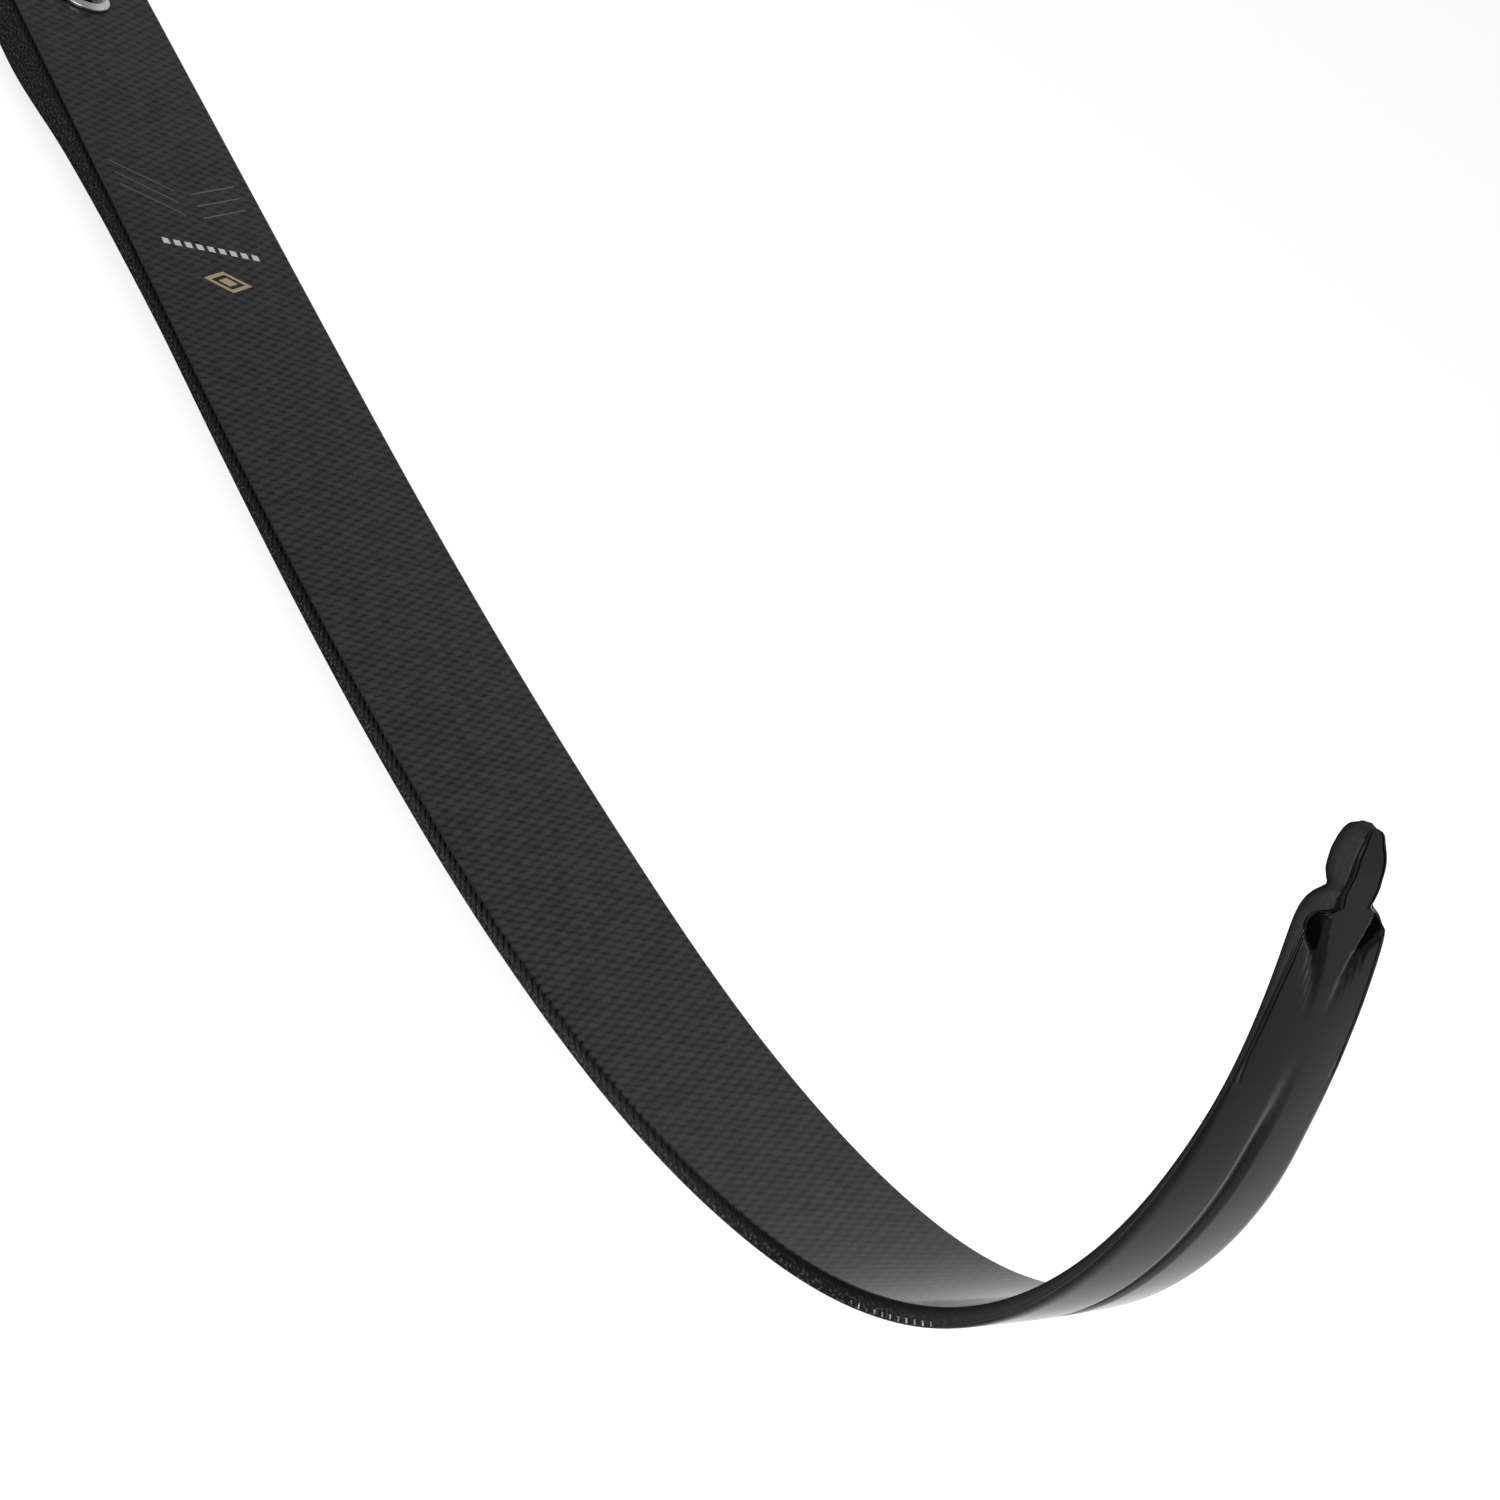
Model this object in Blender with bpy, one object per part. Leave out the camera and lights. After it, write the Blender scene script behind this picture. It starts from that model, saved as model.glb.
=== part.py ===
"""One limb of a take-down recurve bow: the laminated blade with its string nock, and the butt fitting.

Metres, +X from the butt toward the tip, +Y across the blade, +Z toward the back of the limb, which
faces the target. The origin lies on the flat belly side of the butt, where it seats on the riser.
Sizes below are in millimetres, and distances along the blade start at the butt end.
"""
import math
from bisect import bisect_right

import bmesh
import bpy
from mathutils import Vector

MM = 0.001

# Places along the blade
SEAT_CENTRE = 40.0
SLOT_CENTRE = 14.0
FITTING_CENTRE = 71.15
PARALLEL_BUTT = 90.0
BUTT_WEDGE_END = 190.0
STRING_GROOVE_START = 505.0
STRING_GROOVE_END = 610.0
OVERLAY_START = 598.0
TIP_WEDGE_START = 612.0
SHOULDER = 618.0
LENGTH = 635.5

# Blade laws, each a row of (distance, size) pairs that are eased from one to the next
WIDTH = ((0, 44.4), (380, 44.3), (444, 41.7), (491, 37.6), (538, 31.4), (580, 23.9), (600, 20.1),
         (SHOULDER, 18.7), (620, 18.3), (622, 17.6), (623.3, 16.5), (624.9, 14.0), (626, 10.2), (626.9, 6.9),
         (628, 8.0), (629.5, 9.2), (631.5, 9.0), (633.5, 7.1), (634.6, 5.0), (LENGTH, 2.7))
THICKNESS = ((0, 12.4), (PARALLEL_BUTT, 12.4), (140, 7.9), (160, 6.6), (180, 5.6), (225, 4.4), (330, 4.6),
             (430, 3.5), (500, 3.5), (545, 3.3), (560, 3.1), (577, 2.8), (592, 2.4), (600, 2.35), (612, 2.55),
             (620, 2.8), (626, 3.3), (630, 3.8), (LENGTH, 3.5))
TURN_PER_METRE = ((0, 0), (200, 0), (270, 0.46), (360, 0.68), (423, 2.3), (465, 4.0), (491, 6.3),
                  (517, 14.2), (543, 19.6), (570, 13.7), (596, 8.7), (LENGTH, 5.0))

# For each unit of depth below the back: how far the nock's outline leans toward the butt, and how far
# the sides of the recurve slope outward, and those of the tongue inward
NOCK_LEAN = ((608, 0.0), (SHOULDER, 0.5), (624, 0.8), (630, 0.25), (LENGTH, 0.15))
SIDE_SLOPE = ((0, 0.0), (520, 0.0), (560, 0.15), (592, 0.36), (606, 0.44), (SHOULDER, 0.3), (622, 0.15),
              (626, -0.1), (629, -0.3), (633, -0.3), (LENGTH, -0.1))

# Rows of sections along the blade: from, to, and about how far apart
STATION_RUNS = ((0, PARALLEL_BUTT, 45.0), (PARALLEL_BUTT, 230, 14.0), (230, 430, 25.0), (430, 490, 10.0),
                (490, OVERLAY_START, 6.0), (OVERLAY_START, SHOULDER, 2.0), (SHOULDER, LENGTH, 0.6))

# Laminations: one glue line between each two, and some ground thinner toward the tip
GLUE = 0.1
SKIN = ((0, 0.4), (540, 0.4), (600, 0.28), (LENGTH, 0.28))
SKIN_FLANGE = 0.45
COVER = ((0, 0.8), (540, 0.8), (600, 0.56), (SHOULDER, 0.8), (630, 1.6), (LENGTH, 1.5))
CORE = ((0, 1.15), (560, 1.15), (600, 0.24), (TIP_WEDGE_START, 0.16), (LENGTH, 0.18))
BACK_CORNER_RADIUS = 0.6
BELLY_CORNER_RADIUS = 0.45

# String groove down the belly of the recurve
GROOVE_HALF_WIDTH = 1.4
GROOVE_FLOOR_SHARE = 0.3
GROOVE_DEPTH = 0.45
GROOVE_FADE = 18.0

# Nock overlay in the belly of the tip, with two loop grooves that run out from the string groove
LOOP_APEX = 604.8
LOOP_SPREAD = 0.365
LOOP_HALF_WIDTH = 1.7
LOOP_DEPTH = ((606, 0.0), (612, 0.2), (619, 0.6), (624, 0.75), (LENGTH, 0.75))
RIDGE_HEIGHT = ((608, 0.0), (620, 0.22), (630, 0.22), (LENGTH, 0.0))
OVERLAY_EDGE = 0.45
OVERLAY_COLUMN_SHARES = ((0.14, 0.5), (0.3, 0.72), (0.46, 0.88))

# Bolt slot in the butt
SLOT_WIDTH = 10.5
SLOT_SIDES = 24
CUTTER_REACH = 6.0

# Dovetail fitting: belly side at zero, sizes as diameters and heights
FITTING_HOLE = 8.8
SHANK = 8.0
SHANK_TOP = 9.4
FLANGE = 16.0
FLANGE_THICKNESS = 2.3
FLANGE_HOLE = 17.0
NECK = 9.6
NECK_LENGTH = 3.0
HEAD = 13.4
HEAD_LENGTH = 3.4
DOVETAIL_SLOPE = 1.9
SEATING_GAP = 0.2
RECESS = 8.8
RECESS_DEPTH = 1.6
SPRING_BORE = 6.8
SPRING_BORE_TOP = 1.6
TAPPED_BORE = 5.2
TAPPED_BORE_BOTTOM = 3.4
ROUND_SIDES = 32

# Detent pin, its spring and the ring that keeps them in
RING_OUTER = 8.4
RING_INNER = 4.9
RING_THICKNESS = 1.3
PIN = 4.4
PIN_REACH = 2.5
PIN_DOME = 0.8
PIN_TOP_SHARE = 0.6
PIN_TOP_RISE = 0.16
PIN_COLLAR = 6.2
PIN_COLLAR_HEIGHT = 0.9
PIN_STEM = 2.4
PIN_STEM_HEIGHT = 2.0
SPRING_WIRE = 0.5
SPRING_MEAN = 4.6
SPRING_TURNS = 4
SPRING_POINTS_PER_TURN = 10
SPRING_END_GAP = 0.15

# Screw and washer on the back side
WASHER_OUTER = 15.0
WASHER_INNER = 5.4
WASHER_THICKNESS = 1.8
WASHER_DISH = 11.0
WASHER_RIM = 12.2
SEAT_SLOPE = 0.5
SCREW = 4.8
SCREW_HEAD = 10.0
SCREW_CLEARANCE = 0.4
SCREW_END = 4.0
HEX_ACROSS_CORNERS = 3.5
HEX_DEPTH = 1.5


def clear_scene():
    for item in list(bpy.data.objects):
        bpy.data.objects.remove(item, do_unlink=True)


def eased(law, place):
    """The value of a law at a place, on a cubic that never overshoots its points."""
    places = [pair[0] for pair in law]
    values = [pair[1] for pair in law]
    last = len(law) - 1
    if place <= places[0]:
        return values[0]
    if place >= places[last]:
        return values[last]
    rises = [(values[i + 1] - values[i]) / (places[i + 1] - places[i]) for i in range(last)]

    def tangent(i):
        if i == 0 or i == last or rises[i - 1] * rises[i] <= 0:
            return 0.0
        return 2 * rises[i - 1] * rises[i] / (rises[i - 1] + rises[i])

    i = bisect_right(places, place) - 1
    span = places[i + 1] - places[i]
    t = (place - places[i]) / span
    return ((1 + 2 * t) * (1 - t) ** 2 * values[i] + t * (1 - t) ** 2 * span * tangent(i)
            + t * t * (3 - 2 * t) * values[i + 1] + t * t * (t - 1) * span * tangent(i + 1))


def back_line():
    """Points of the back line each millimetre: X, Z and the angle turned so far."""
    x, z, angle = -SEAT_CENTRE, THICKNESS[0][1], 0.0
    points = [(x, z, angle)]
    for i in range(math.ceil(LENGTH)):
        turned_by = eased(TURN_PER_METRE, i + 0.5) * MM
        middle = angle + turned_by / 2
        x += math.cos(middle)
        z += math.sin(middle)
        angle += turned_by
        points.append((x, z, angle))
    return points


LINE = back_line()


def spot(place, across, depth):
    """A point in metres: along the blade, across it, and below the back toward the belly."""
    i = min(int(place), len(LINE) - 2)
    part = place - i
    x, z, angle = (a + (b - a) * part for a, b in zip(LINE[i], LINE[i + 1]))
    return Vector((x + math.sin(angle) * depth, across, z - math.cos(angle) * depth)) * MM


def half_width(place, depth):
    """Half the width of the blade at a place, and at a depth below the back: its sides are straight."""
    belly = eased(THICKNESS, place)
    on_back = eased(WIDTH, place) / 2
    on_belly = eased(WIDTH, place + eased(NOCK_LEAN, place) * belly) / 2 + eased(SIDE_SLOPE, place) * belly
    return on_back + (on_belly - on_back) * depth / belly


def inner_half_width(place, depth):
    return half_width(place, depth) - SKIN_FLANGE - GLUE


def stations():
    """Places where every lamination has a section: close together only where the blade bends."""
    places = [LENGTH, BUTT_WEDGE_END, TIP_WEDGE_START]
    for start, end, step in STATION_RUNS:
        count = max(1, round((end - start) / step))
        places += [start + (end - start) * i / count for i in range(count)]
    return sorted(set(places))


STATIONS = stations()


def layers(place):
    """Upper and lower depth of each lamination at one place, from the back to the belly."""
    belly = eased(THICKNESS, place)
    skin = eased(SKIN, place)
    back_lamina = skin + GLUE
    core_top = back_lamina + skin + GLUE
    cover = belly - eased(COVER, place)
    belly_lamina = cover - GLUE - skin
    core_bottom = belly_lamina - GLUE
    core = min(eased(CORE, place), (core_bottom - core_top - GLUE) / 2)
    return {
        "woven_skin": (0.0, skin),
        "back_lamina": (back_lamina, back_lamina + skin),
        "core_back": (core_top, core_top + core),
        "wedge": (core_top + core + GLUE, core_bottom - core - GLUE),
        "core_belly": (core_bottom - core, core_bottom),
        "belly_lamina": (belly_lamina, belly_lamina + skin),
        "cover": (cover, belly),
    }


def plain_material(name, colour, roughness, metallic):
    material = bpy.data.materials.new(name)
    material.use_nodes = True
    shader = material.node_tree.nodes["Principled BSDF"]
    shader.inputs["Base Color"].default_value = (*colour, 1.0)
    shader.inputs["Roughness"].default_value = roughness
    shader.inputs["Metallic"].default_value = metallic
    return material


def finished(name, bm, material, origin=(0.0, 0.0, 0.0)):
    """Turn a bmesh into a smooth-shaded object whose own origin lies at the given place."""
    bmesh.ops.recalc_face_normals(bm, faces=bm.faces)
    bmesh.ops.translate(bm, verts=bm.verts, vec=-Vector(origin))
    mesh = bpy.data.meshes.new(name)
    bm.to_mesh(mesh)
    bm.free()
    mesh.shade_smooth()
    mesh.set_sharp_from_angle(angle=math.radians(30))
    mesh.materials.append(material)
    item = bpy.data.objects.new(name, mesh)
    item.location = origin
    bpy.context.collection.objects.link(item)
    return item


def lofted(name, rings, material):
    """A closed body through rings of points that all have the same count."""
    bm = bmesh.new()
    loops = [[bm.verts.new(point) for point in ring] for ring in rings]
    count = len(loops[0])
    for low, high in zip(loops, loops[1:]):
        for i in range(count):
            j = (i + 1) % count
            bm.faces.new((low[i], low[j], high[j], high[i]))
    bm.faces.new(loops[0])
    bm.faces.new(loops[-1])
    return finished(name, bm, material)


def turned(name, profile, material, centre, origin=(0.0, 0.0, 0.0)):
    """A turned piece from a closed profile of (diameter, height) pairs round an upright axis."""
    bm = bmesh.new()
    axis = Vector((centre * MM, 0.0, 0.0))
    points = [bm.verts.new(axis + Vector((d / 2, 0.0, h)) * MM) for d, h in profile]
    edges = []
    for first, second in zip(points, points[1:] + points[:1]):
        if first.co.x - axis.x > 1e-9 or second.co.x - axis.x > 1e-9:
            edges.append(bm.edges.new((first, second)))
    bmesh.ops.spin(bm, geom=points + edges, cent=axis, axis=(0, 0, 1), angle=math.tau,
                   steps=ROUND_SIDES, use_merge=True, use_duplicate=False)
    bmesh.ops.remove_doubles(bm, verts=bm.verts, dist=1e-7)
    return finished(name, bm, material, origin)


def flat_lamination(name, places, layer, material):
    rings = []
    for place in places:
        top, bottom = layers(place)[layer]
        upper = inner_half_width(place, top)
        lower = inner_half_width(place, bottom)
        section = ((-upper, top), (upper, top), (lower, bottom), (-lower, bottom))
        rings.append([spot(place, across, depth) for across, depth in section])
    return lofted(name, rings, material)


def mirrored_section(right):
    """A section round the centre line from its right half, which starts and ends on that line's side."""
    return right + tuple((-across, depth) for across, depth in reversed(right))


def woven_skin(material):
    """The woven cloth of the back, folded down over both edges of the blade as one channel."""
    radius = BACK_CORNER_RADIUS
    near = radius * (1 - math.sqrt(0.5))
    rings = []
    for place in STATIONS:
        inside = layers(place)["woven_skin"][1]
        rim = layers(place)["cover"][0] - GLUE
        outer = half_width(place, 0.0)
        low = half_width(place, rim)
        section = mirrored_section((
            (half_width(place, inside) - SKIN_FLANGE, inside), (low - SKIN_FLANGE, rim), (low, rim),
            (half_width(place, radius), radius), (outer - near, near), (outer - radius, 0.0)))
        rings.append([spot(place, across, depth) for across, depth in section])
    return lofted("woven_skin", rings, material)


def string_groove(place):
    """Depth of the groove that guides the string along the belly of the recurve."""
    rise = min(1.0, max(0.0, (place - STRING_GROOVE_START) / GROOVE_FADE))
    fall = min(1.0, max(0.0, (STRING_GROOVE_END - place) / GROOVE_FADE))
    depth = min(rise, fall)
    return GROOVE_DEPTH * depth * depth * (3 - 2 * depth)


def belly_skin(material):
    """The smooth skin of the belly with the string groove, from the butt end to the nock overlay."""
    radius = BELLY_CORNER_RADIUS
    near = radius * (1 - math.sqrt(0.5))
    rings = []
    for place in [place for place in STATIONS if place < OVERLAY_START] + [OVERLAY_START - GLUE]:
        top, bottom = layers(place)["cover"]
        outer = half_width(place, bottom)
        groove = string_groove(place)
        section = mirrored_section((
            (GROOVE_HALF_WIDTH * GROOVE_FLOOR_SHARE, bottom - groove), (GROOVE_HALF_WIDTH, bottom),
            (outer - radius, bottom), (outer - near, bottom - near), (outer, bottom - radius), (outer, top)))
        rings.append([spot(place, across, depth) for across, depth in section])
    return lofted("belly_skin", rings, material)


def loop_centre(place):
    """How far from the centre line each loop groove runs at a place."""
    return LOOP_SPREAD * (place - LOOP_APEX)


def hollow(off):
    """A smooth hollow: one in its middle, nothing from its edge on."""
    return max(0.0, 1 - off * off) ** 2


def overlay_surface(place, across):
    """Depth of the overlay's outer face: the string groove's end, the loop grooves and the ridge."""
    centre = loop_centre(place)
    off = abs(across) - centre
    cut_by_string = string_groove(place) * hollow(across / GROOVE_HALF_WIDTH)
    cut_by_loop = eased(LOOP_DEPTH, place) * hollow(off / LOOP_HALF_WIDTH)
    ridge = eased(RIDGE_HEIGHT, place) * min(1.0, max(0.0, -off / LOOP_HALF_WIDTH))
    return eased(THICKNESS, place) + ridge - max(cut_by_string, cut_by_loop)


def overlay_columns(place, half):
    """Columns from the centre line to the edge that follow the loop groove, as far as it is in reach."""
    marks = []
    for step, (least, most) in zip((-1, 0, 1), OVERLAY_COLUMN_SHARES):
        mark = loop_centre(place) + step * LOOP_HALF_WIDTH
        marks.append(min(max(mark, least * half), most * half))
    columns = [0.0]
    for mark in marks + [half]:
        columns += [(columns[-1] + mark) / 2, mark]
    return columns


def nock_overlay(material):
    """The hard overlay that takes the belly skin's place at the tip and carries the string's loop."""
    rings = []
    for place in [OVERLAY_START] + [place for place in STATIONS if place > OVERLAY_START]:
        top, bottom = layers(place)["cover"]
        edge = half_width(place, bottom - OVERLAY_EDGE)
        columns = overlay_columns(place, half_width(place, bottom) - OVERLAY_EDGE)
        face = [(across, overlay_surface(place, across)) for across in columns]
        section = tuple(face) + ((edge, bottom - OVERLAY_EDGE), (half_width(place, top), top))
        left = [(-across, depth) for across, depth in reversed(section[1:])]
        rings.append([spot(place, across, depth) for across, depth in section + tuple(left)])
    return lofted("nock_overlay", rings, material)


def cutter(name, bm):
    item = finished(name, bm, None)
    item.hide_render = True
    item.display_type = "WIRE"
    return item


def slot_cutter():
    """The open-ended bolt slot: straight sides from the butt end to a half round."""
    bm = bmesh.new()
    radius = SLOT_WIDTH / 2
    centre = SLOT_CENTRE - SEAT_CENTRE
    bottom = -CUTTER_REACH
    top = THICKNESS[0][1] + CUTTER_REACH
    outline = [(-SEAT_CENTRE - CUTTER_REACH, radius), (-SEAT_CENTRE - CUTTER_REACH, -radius)]
    for i in range(SLOT_SIDES + 1):
        angle = -math.pi / 2 + math.pi * i / SLOT_SIDES
        outline.append((centre + radius * math.cos(angle), radius * math.sin(angle)))
    floor = bm.faces.new([bm.verts.new(Vector((x, y, bottom)) * MM) for x, y in outline])
    grown = bmesh.ops.extrude_face_region(bm, geom=[floor])
    lifted = [item for item in grown["geom"] if isinstance(item, bmesh.types.BMVert)]
    bmesh.ops.translate(bm, verts=lifted, vec=(0.0, 0.0, (top - bottom) * MM))
    return cutter("slot_cutter", bm)


def hole_cutter(name, diameter):
    """A round hole through the butt on the axis of the fitting."""
    bm = bmesh.new()
    depth = THICKNESS[0][1] + 2 * CUTTER_REACH
    bmesh.ops.create_cone(bm, cap_ends=True, segments=ROUND_SIDES, radius1=diameter / 2 * MM,
                          radius2=diameter / 2 * MM, depth=depth * MM)
    middle = Vector((FITTING_CENTRE - SEAT_CENTRE, 0.0, THICKNESS[0][1] / 2)) * MM
    bmesh.ops.translate(bm, verts=bm.verts, vec=middle)
    return cutter(name, bm)


def cut(item, cutters):
    for tool in cutters:
        modifier = item.modifiers.new(tool.name, "BOOLEAN")
        modifier.operation = "DIFFERENCE"
        modifier.solver = "EXACT"
        modifier.object = tool


def blade(skin, carbon, wood, belly, tip):
    """All the laminations, and the cuts that go through the butt."""
    butt = [place for place in STATIONS if place <= BUTT_WEDGE_END]
    point = [place for place in STATIONS if place >= TIP_WEDGE_START]
    slot = slot_cutter()
    shank_hole = hole_cutter("shank_hole", FITTING_HOLE)
    flange_hole = hole_cutter("flange_hole", FLANGE_HOLE)
    for item in (
        woven_skin(skin),
        flat_lamination("back_lamina", STATIONS, "back_lamina", carbon),
        flat_lamination("core_back", STATIONS, "core_back", wood),
        flat_lamination("butt_wedge", butt, "wedge", wood),
        flat_lamination("core_belly", STATIONS, "core_belly", wood),
        flat_lamination("belly_lamina", STATIONS, "belly_lamina", carbon),
    ):
        cut(item, [slot, shank_hole])
    cut(belly_skin(belly), [slot, flange_hole])
    flat_lamination("tip_wedge", point, "wedge", wood)
    nock_overlay(tip)


FITTING_X = FITTING_CENTRE - SEAT_CENTRE
FLANGE_TOP = COVER[0][1] + GLUE - SEATING_GAP
FLANGE_LOW = FLANGE_TOP - FLANGE_THICKNESS
NECK_LOW = FLANGE_LOW - NECK_LENGTH
HEAD_LOW = FLANGE_LOW - NECK_LENGTH - HEAD_LENGTH
RING_TOP = HEAD_LOW + RING_THICKNESS
PIN_COLLAR_LOW = HEAD_LOW + RECESS_DEPTH + SEATING_GAP
PIN_COLLAR_TOP = PIN_COLLAR_LOW + PIN_COLLAR_HEIGHT
SPRING_LOW = PIN_COLLAR_TOP + SPRING_END_GAP
SPRING_HIGH = SPRING_BORE_TOP - SPRING_END_GAP


def dovetail_bushing(material):
    """The turned bushing: shank, flange, neck and dovetail head, bored for the detent and the screw."""
    profile = (
        (SPRING_BORE, SPRING_BORE_TOP), (SPRING_BORE, HEAD_LOW + RECESS_DEPTH),
        (RECESS, HEAD_LOW + RECESS_DEPTH), (RECESS, HEAD_LOW), (HEAD, HEAD_LOW),
        (HEAD, NECK_LOW - DOVETAIL_SLOPE), (NECK, NECK_LOW), (NECK, FLANGE_LOW), (FLANGE, FLANGE_LOW),
        (FLANGE, FLANGE_TOP), (SHANK, FLANGE_TOP), (SHANK, SHANK_TOP), (TAPPED_BORE, SHANK_TOP),
        (TAPPED_BORE, TAPPED_BORE_BOTTOM), (0, TAPPED_BORE_BOTTOM), (0, SPRING_BORE_TOP),
    )
    turned("dovetail_bushing", profile, material, FITTING_X)


def retainer_ring(material):
    profile = ((RING_INNER, HEAD_LOW), (RING_OUTER, HEAD_LOW), (RING_OUTER, RING_TOP), (RING_INNER, RING_TOP))
    turned("retainer_ring", profile, material, FITTING_X)


def detent_pin(material):
    """The sprung pin: domed nose through the ring, collar behind it, stem inside the spring."""
    nose = HEAD_LOW - PIN_REACH
    profile = (
        (0, nose), (PIN * PIN_TOP_SHARE, nose + PIN_TOP_RISE), (PIN, nose + PIN_DOME),
        (PIN, PIN_COLLAR_LOW), (PIN_COLLAR, PIN_COLLAR_LOW), (PIN_COLLAR, PIN_COLLAR_TOP),
        (PIN_STEM, PIN_COLLAR_TOP),
        (PIN_STEM, PIN_COLLAR_TOP + PIN_STEM_HEIGHT), (0, PIN_COLLAR_TOP + PIN_STEM_HEIGHT),
    )
    origin = Vector((FITTING_X, 0.0, HEAD_LOW)) * MM
    turned("detent_pin", profile, material, FITTING_X, origin)


def least_gap(points, wire):
    """Smallest gap between the turns of a coil, from points at least half a turn apart."""
    apart = SPRING_POINTS_PER_TURN // 2
    distances = [(points[j] - points[i]).length for i in range(len(points))
                 for j in range(i + apart, len(points))]
    return min(distances) - wire


def detent_spring(material):
    """One unbroken coil between the collar of the pin and the end of the bore."""
    steps = SPRING_TURNS * SPRING_POINTS_PER_TURN
    low = SPRING_LOW + SPRING_WIRE / 2
    high = SPRING_HIGH - SPRING_WIRE / 2
    points = []
    for i in range(steps + 1):
        angle = math.tau * i / SPRING_POINTS_PER_TURN
        radius = SPRING_MEAN / 2
        points.append(Vector((FITTING_X + radius * math.cos(angle), radius * math.sin(angle),
                              low + (high - low) * i / steps)))
    print("detent_spring least gap between turns, mm:", round(least_gap(points, SPRING_WIRE), 3))
    curve = bpy.data.curves.new("detent_spring", "CURVE")
    curve.dimensions = "3D"
    curve.bevel_depth = SPRING_WIRE / 2 * MM
    curve.bevel_resolution = 1
    curve.use_fill_caps = True
    spline = curve.splines.new("POLY")
    spline.points.add(len(points) - 1)
    for knot, point in zip(spline.points, points):
        knot.co = (*(point * MM), 1.0)
    curve.materials.append(material)
    item = bpy.data.objects.new("detent_spring", curve)
    bpy.context.collection.objects.link(item)


def cup_washer(material):
    """The dished washer that spreads the screw's pull over the back of the butt."""
    low = THICKNESS[0][1] + SEATING_GAP
    high = low + WASHER_THICKNESS
    profile = (
        (WASHER_INNER, low), (WASHER_OUTER, low), (WASHER_OUTER, low + WASHER_THICKNESS / 2),
        (WASHER_RIM, high), (WASHER_DISH, high),
        (WASHER_INNER, high - (WASHER_DISH - WASHER_INNER) / 2 * SEAT_SLOPE),
    )
    turned("cup_washer", profile, material, FITTING_X)


def fitting_screw(material):
    """Flat countersunk screw with a hexagon socket, from the back of the butt into the bushing."""
    top = THICKNESS[0][1] + SEATING_GAP + WASHER_THICKNESS + SCREW_CLEARANCE
    under = top - (SCREW_HEAD - SCREW) / 2 * SEAT_SLOPE
    profile = ((0, SCREW_END), (SCREW, SCREW_END), (SCREW, under), (SCREW_HEAD, top),
               (SCREW_HEAD, top + SCREW_CLEARANCE), (0, top + SCREW_CLEARANCE))
    item = turned("fitting_screw", profile, material, FITTING_X)
    bm = bmesh.new()
    bmesh.ops.create_cone(bm, cap_ends=True, segments=6, radius1=HEX_ACROSS_CORNERS / 2 * MM,
                          radius2=HEX_ACROSS_CORNERS / 2 * MM, depth=2 * HEX_DEPTH * MM)
    bmesh.ops.translate(bm, verts=bm.verts, vec=Vector((FITTING_X, 0.0, top + SCREW_CLEARANCE)) * MM)
    cut(item, [cutter("hex_cutter", bm)])


def build():
    clear_scene()
    skin = plain_material("woven_carbon", (0.026, 0.027, 0.029), 0.38, 0.0)
    carbon = plain_material("straight_carbon", (0.02, 0.02, 0.022), 0.5, 0.0)
    wood = plain_material("core_maple", (0.52, 0.36, 0.2), 0.65, 0.0)
    belly = plain_material("satin_belly", (0.022, 0.023, 0.025), 0.32, 0.0)
    tip = plain_material("tip_laminate", (0.014, 0.014, 0.016), 0.3, 0.0)
    steel = plain_material("bright_steel", (0.55, 0.56, 0.58), 0.25, 1.0)
    blade(skin, carbon, wood, belly, tip)
    dovetail_bushing(steel)
    retainer_ring(steel)
    detent_pin(steel)
    detent_spring(steel)
    cup_washer(steel)
    fitting_screw(steel)


build()
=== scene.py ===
import math
from bisect import bisect_right

import bmesh
import bpy
from mathutils import Matrix, Vector


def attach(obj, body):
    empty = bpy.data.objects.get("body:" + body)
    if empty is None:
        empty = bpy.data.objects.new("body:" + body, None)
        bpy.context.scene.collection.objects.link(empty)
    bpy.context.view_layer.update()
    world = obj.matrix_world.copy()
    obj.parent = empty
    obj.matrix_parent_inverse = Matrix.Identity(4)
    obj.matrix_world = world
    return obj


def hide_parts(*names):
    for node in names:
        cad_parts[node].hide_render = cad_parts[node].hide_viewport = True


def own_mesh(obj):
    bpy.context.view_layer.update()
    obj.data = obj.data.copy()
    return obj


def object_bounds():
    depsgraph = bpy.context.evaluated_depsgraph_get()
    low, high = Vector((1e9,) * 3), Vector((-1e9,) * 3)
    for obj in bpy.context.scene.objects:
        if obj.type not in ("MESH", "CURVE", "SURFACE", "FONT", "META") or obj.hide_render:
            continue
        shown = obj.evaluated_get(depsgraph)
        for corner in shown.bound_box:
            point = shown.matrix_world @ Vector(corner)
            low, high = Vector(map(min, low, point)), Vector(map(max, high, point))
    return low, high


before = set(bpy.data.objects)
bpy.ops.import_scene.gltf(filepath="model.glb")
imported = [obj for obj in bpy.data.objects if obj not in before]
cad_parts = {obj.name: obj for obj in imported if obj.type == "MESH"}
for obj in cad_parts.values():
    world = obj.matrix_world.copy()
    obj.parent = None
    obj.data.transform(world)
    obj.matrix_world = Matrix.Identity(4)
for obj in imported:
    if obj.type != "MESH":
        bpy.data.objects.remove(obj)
cad_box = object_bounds()

# Maple cores and wedges
# Thin strips of hard maple, ground to a taper on a drum sander and glued between sheets of carbon. They are
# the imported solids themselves: only their edges show, at the butt end, in the bolt slot and in the bore.
MM = 0.001
SRGB_STEPS = 255
SRGB_KNEE = 0.04045
SRGB_SLOPE = 12.92
SRGB_OFFSET = 0.055
SRGB_POWER = 2.4


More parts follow.
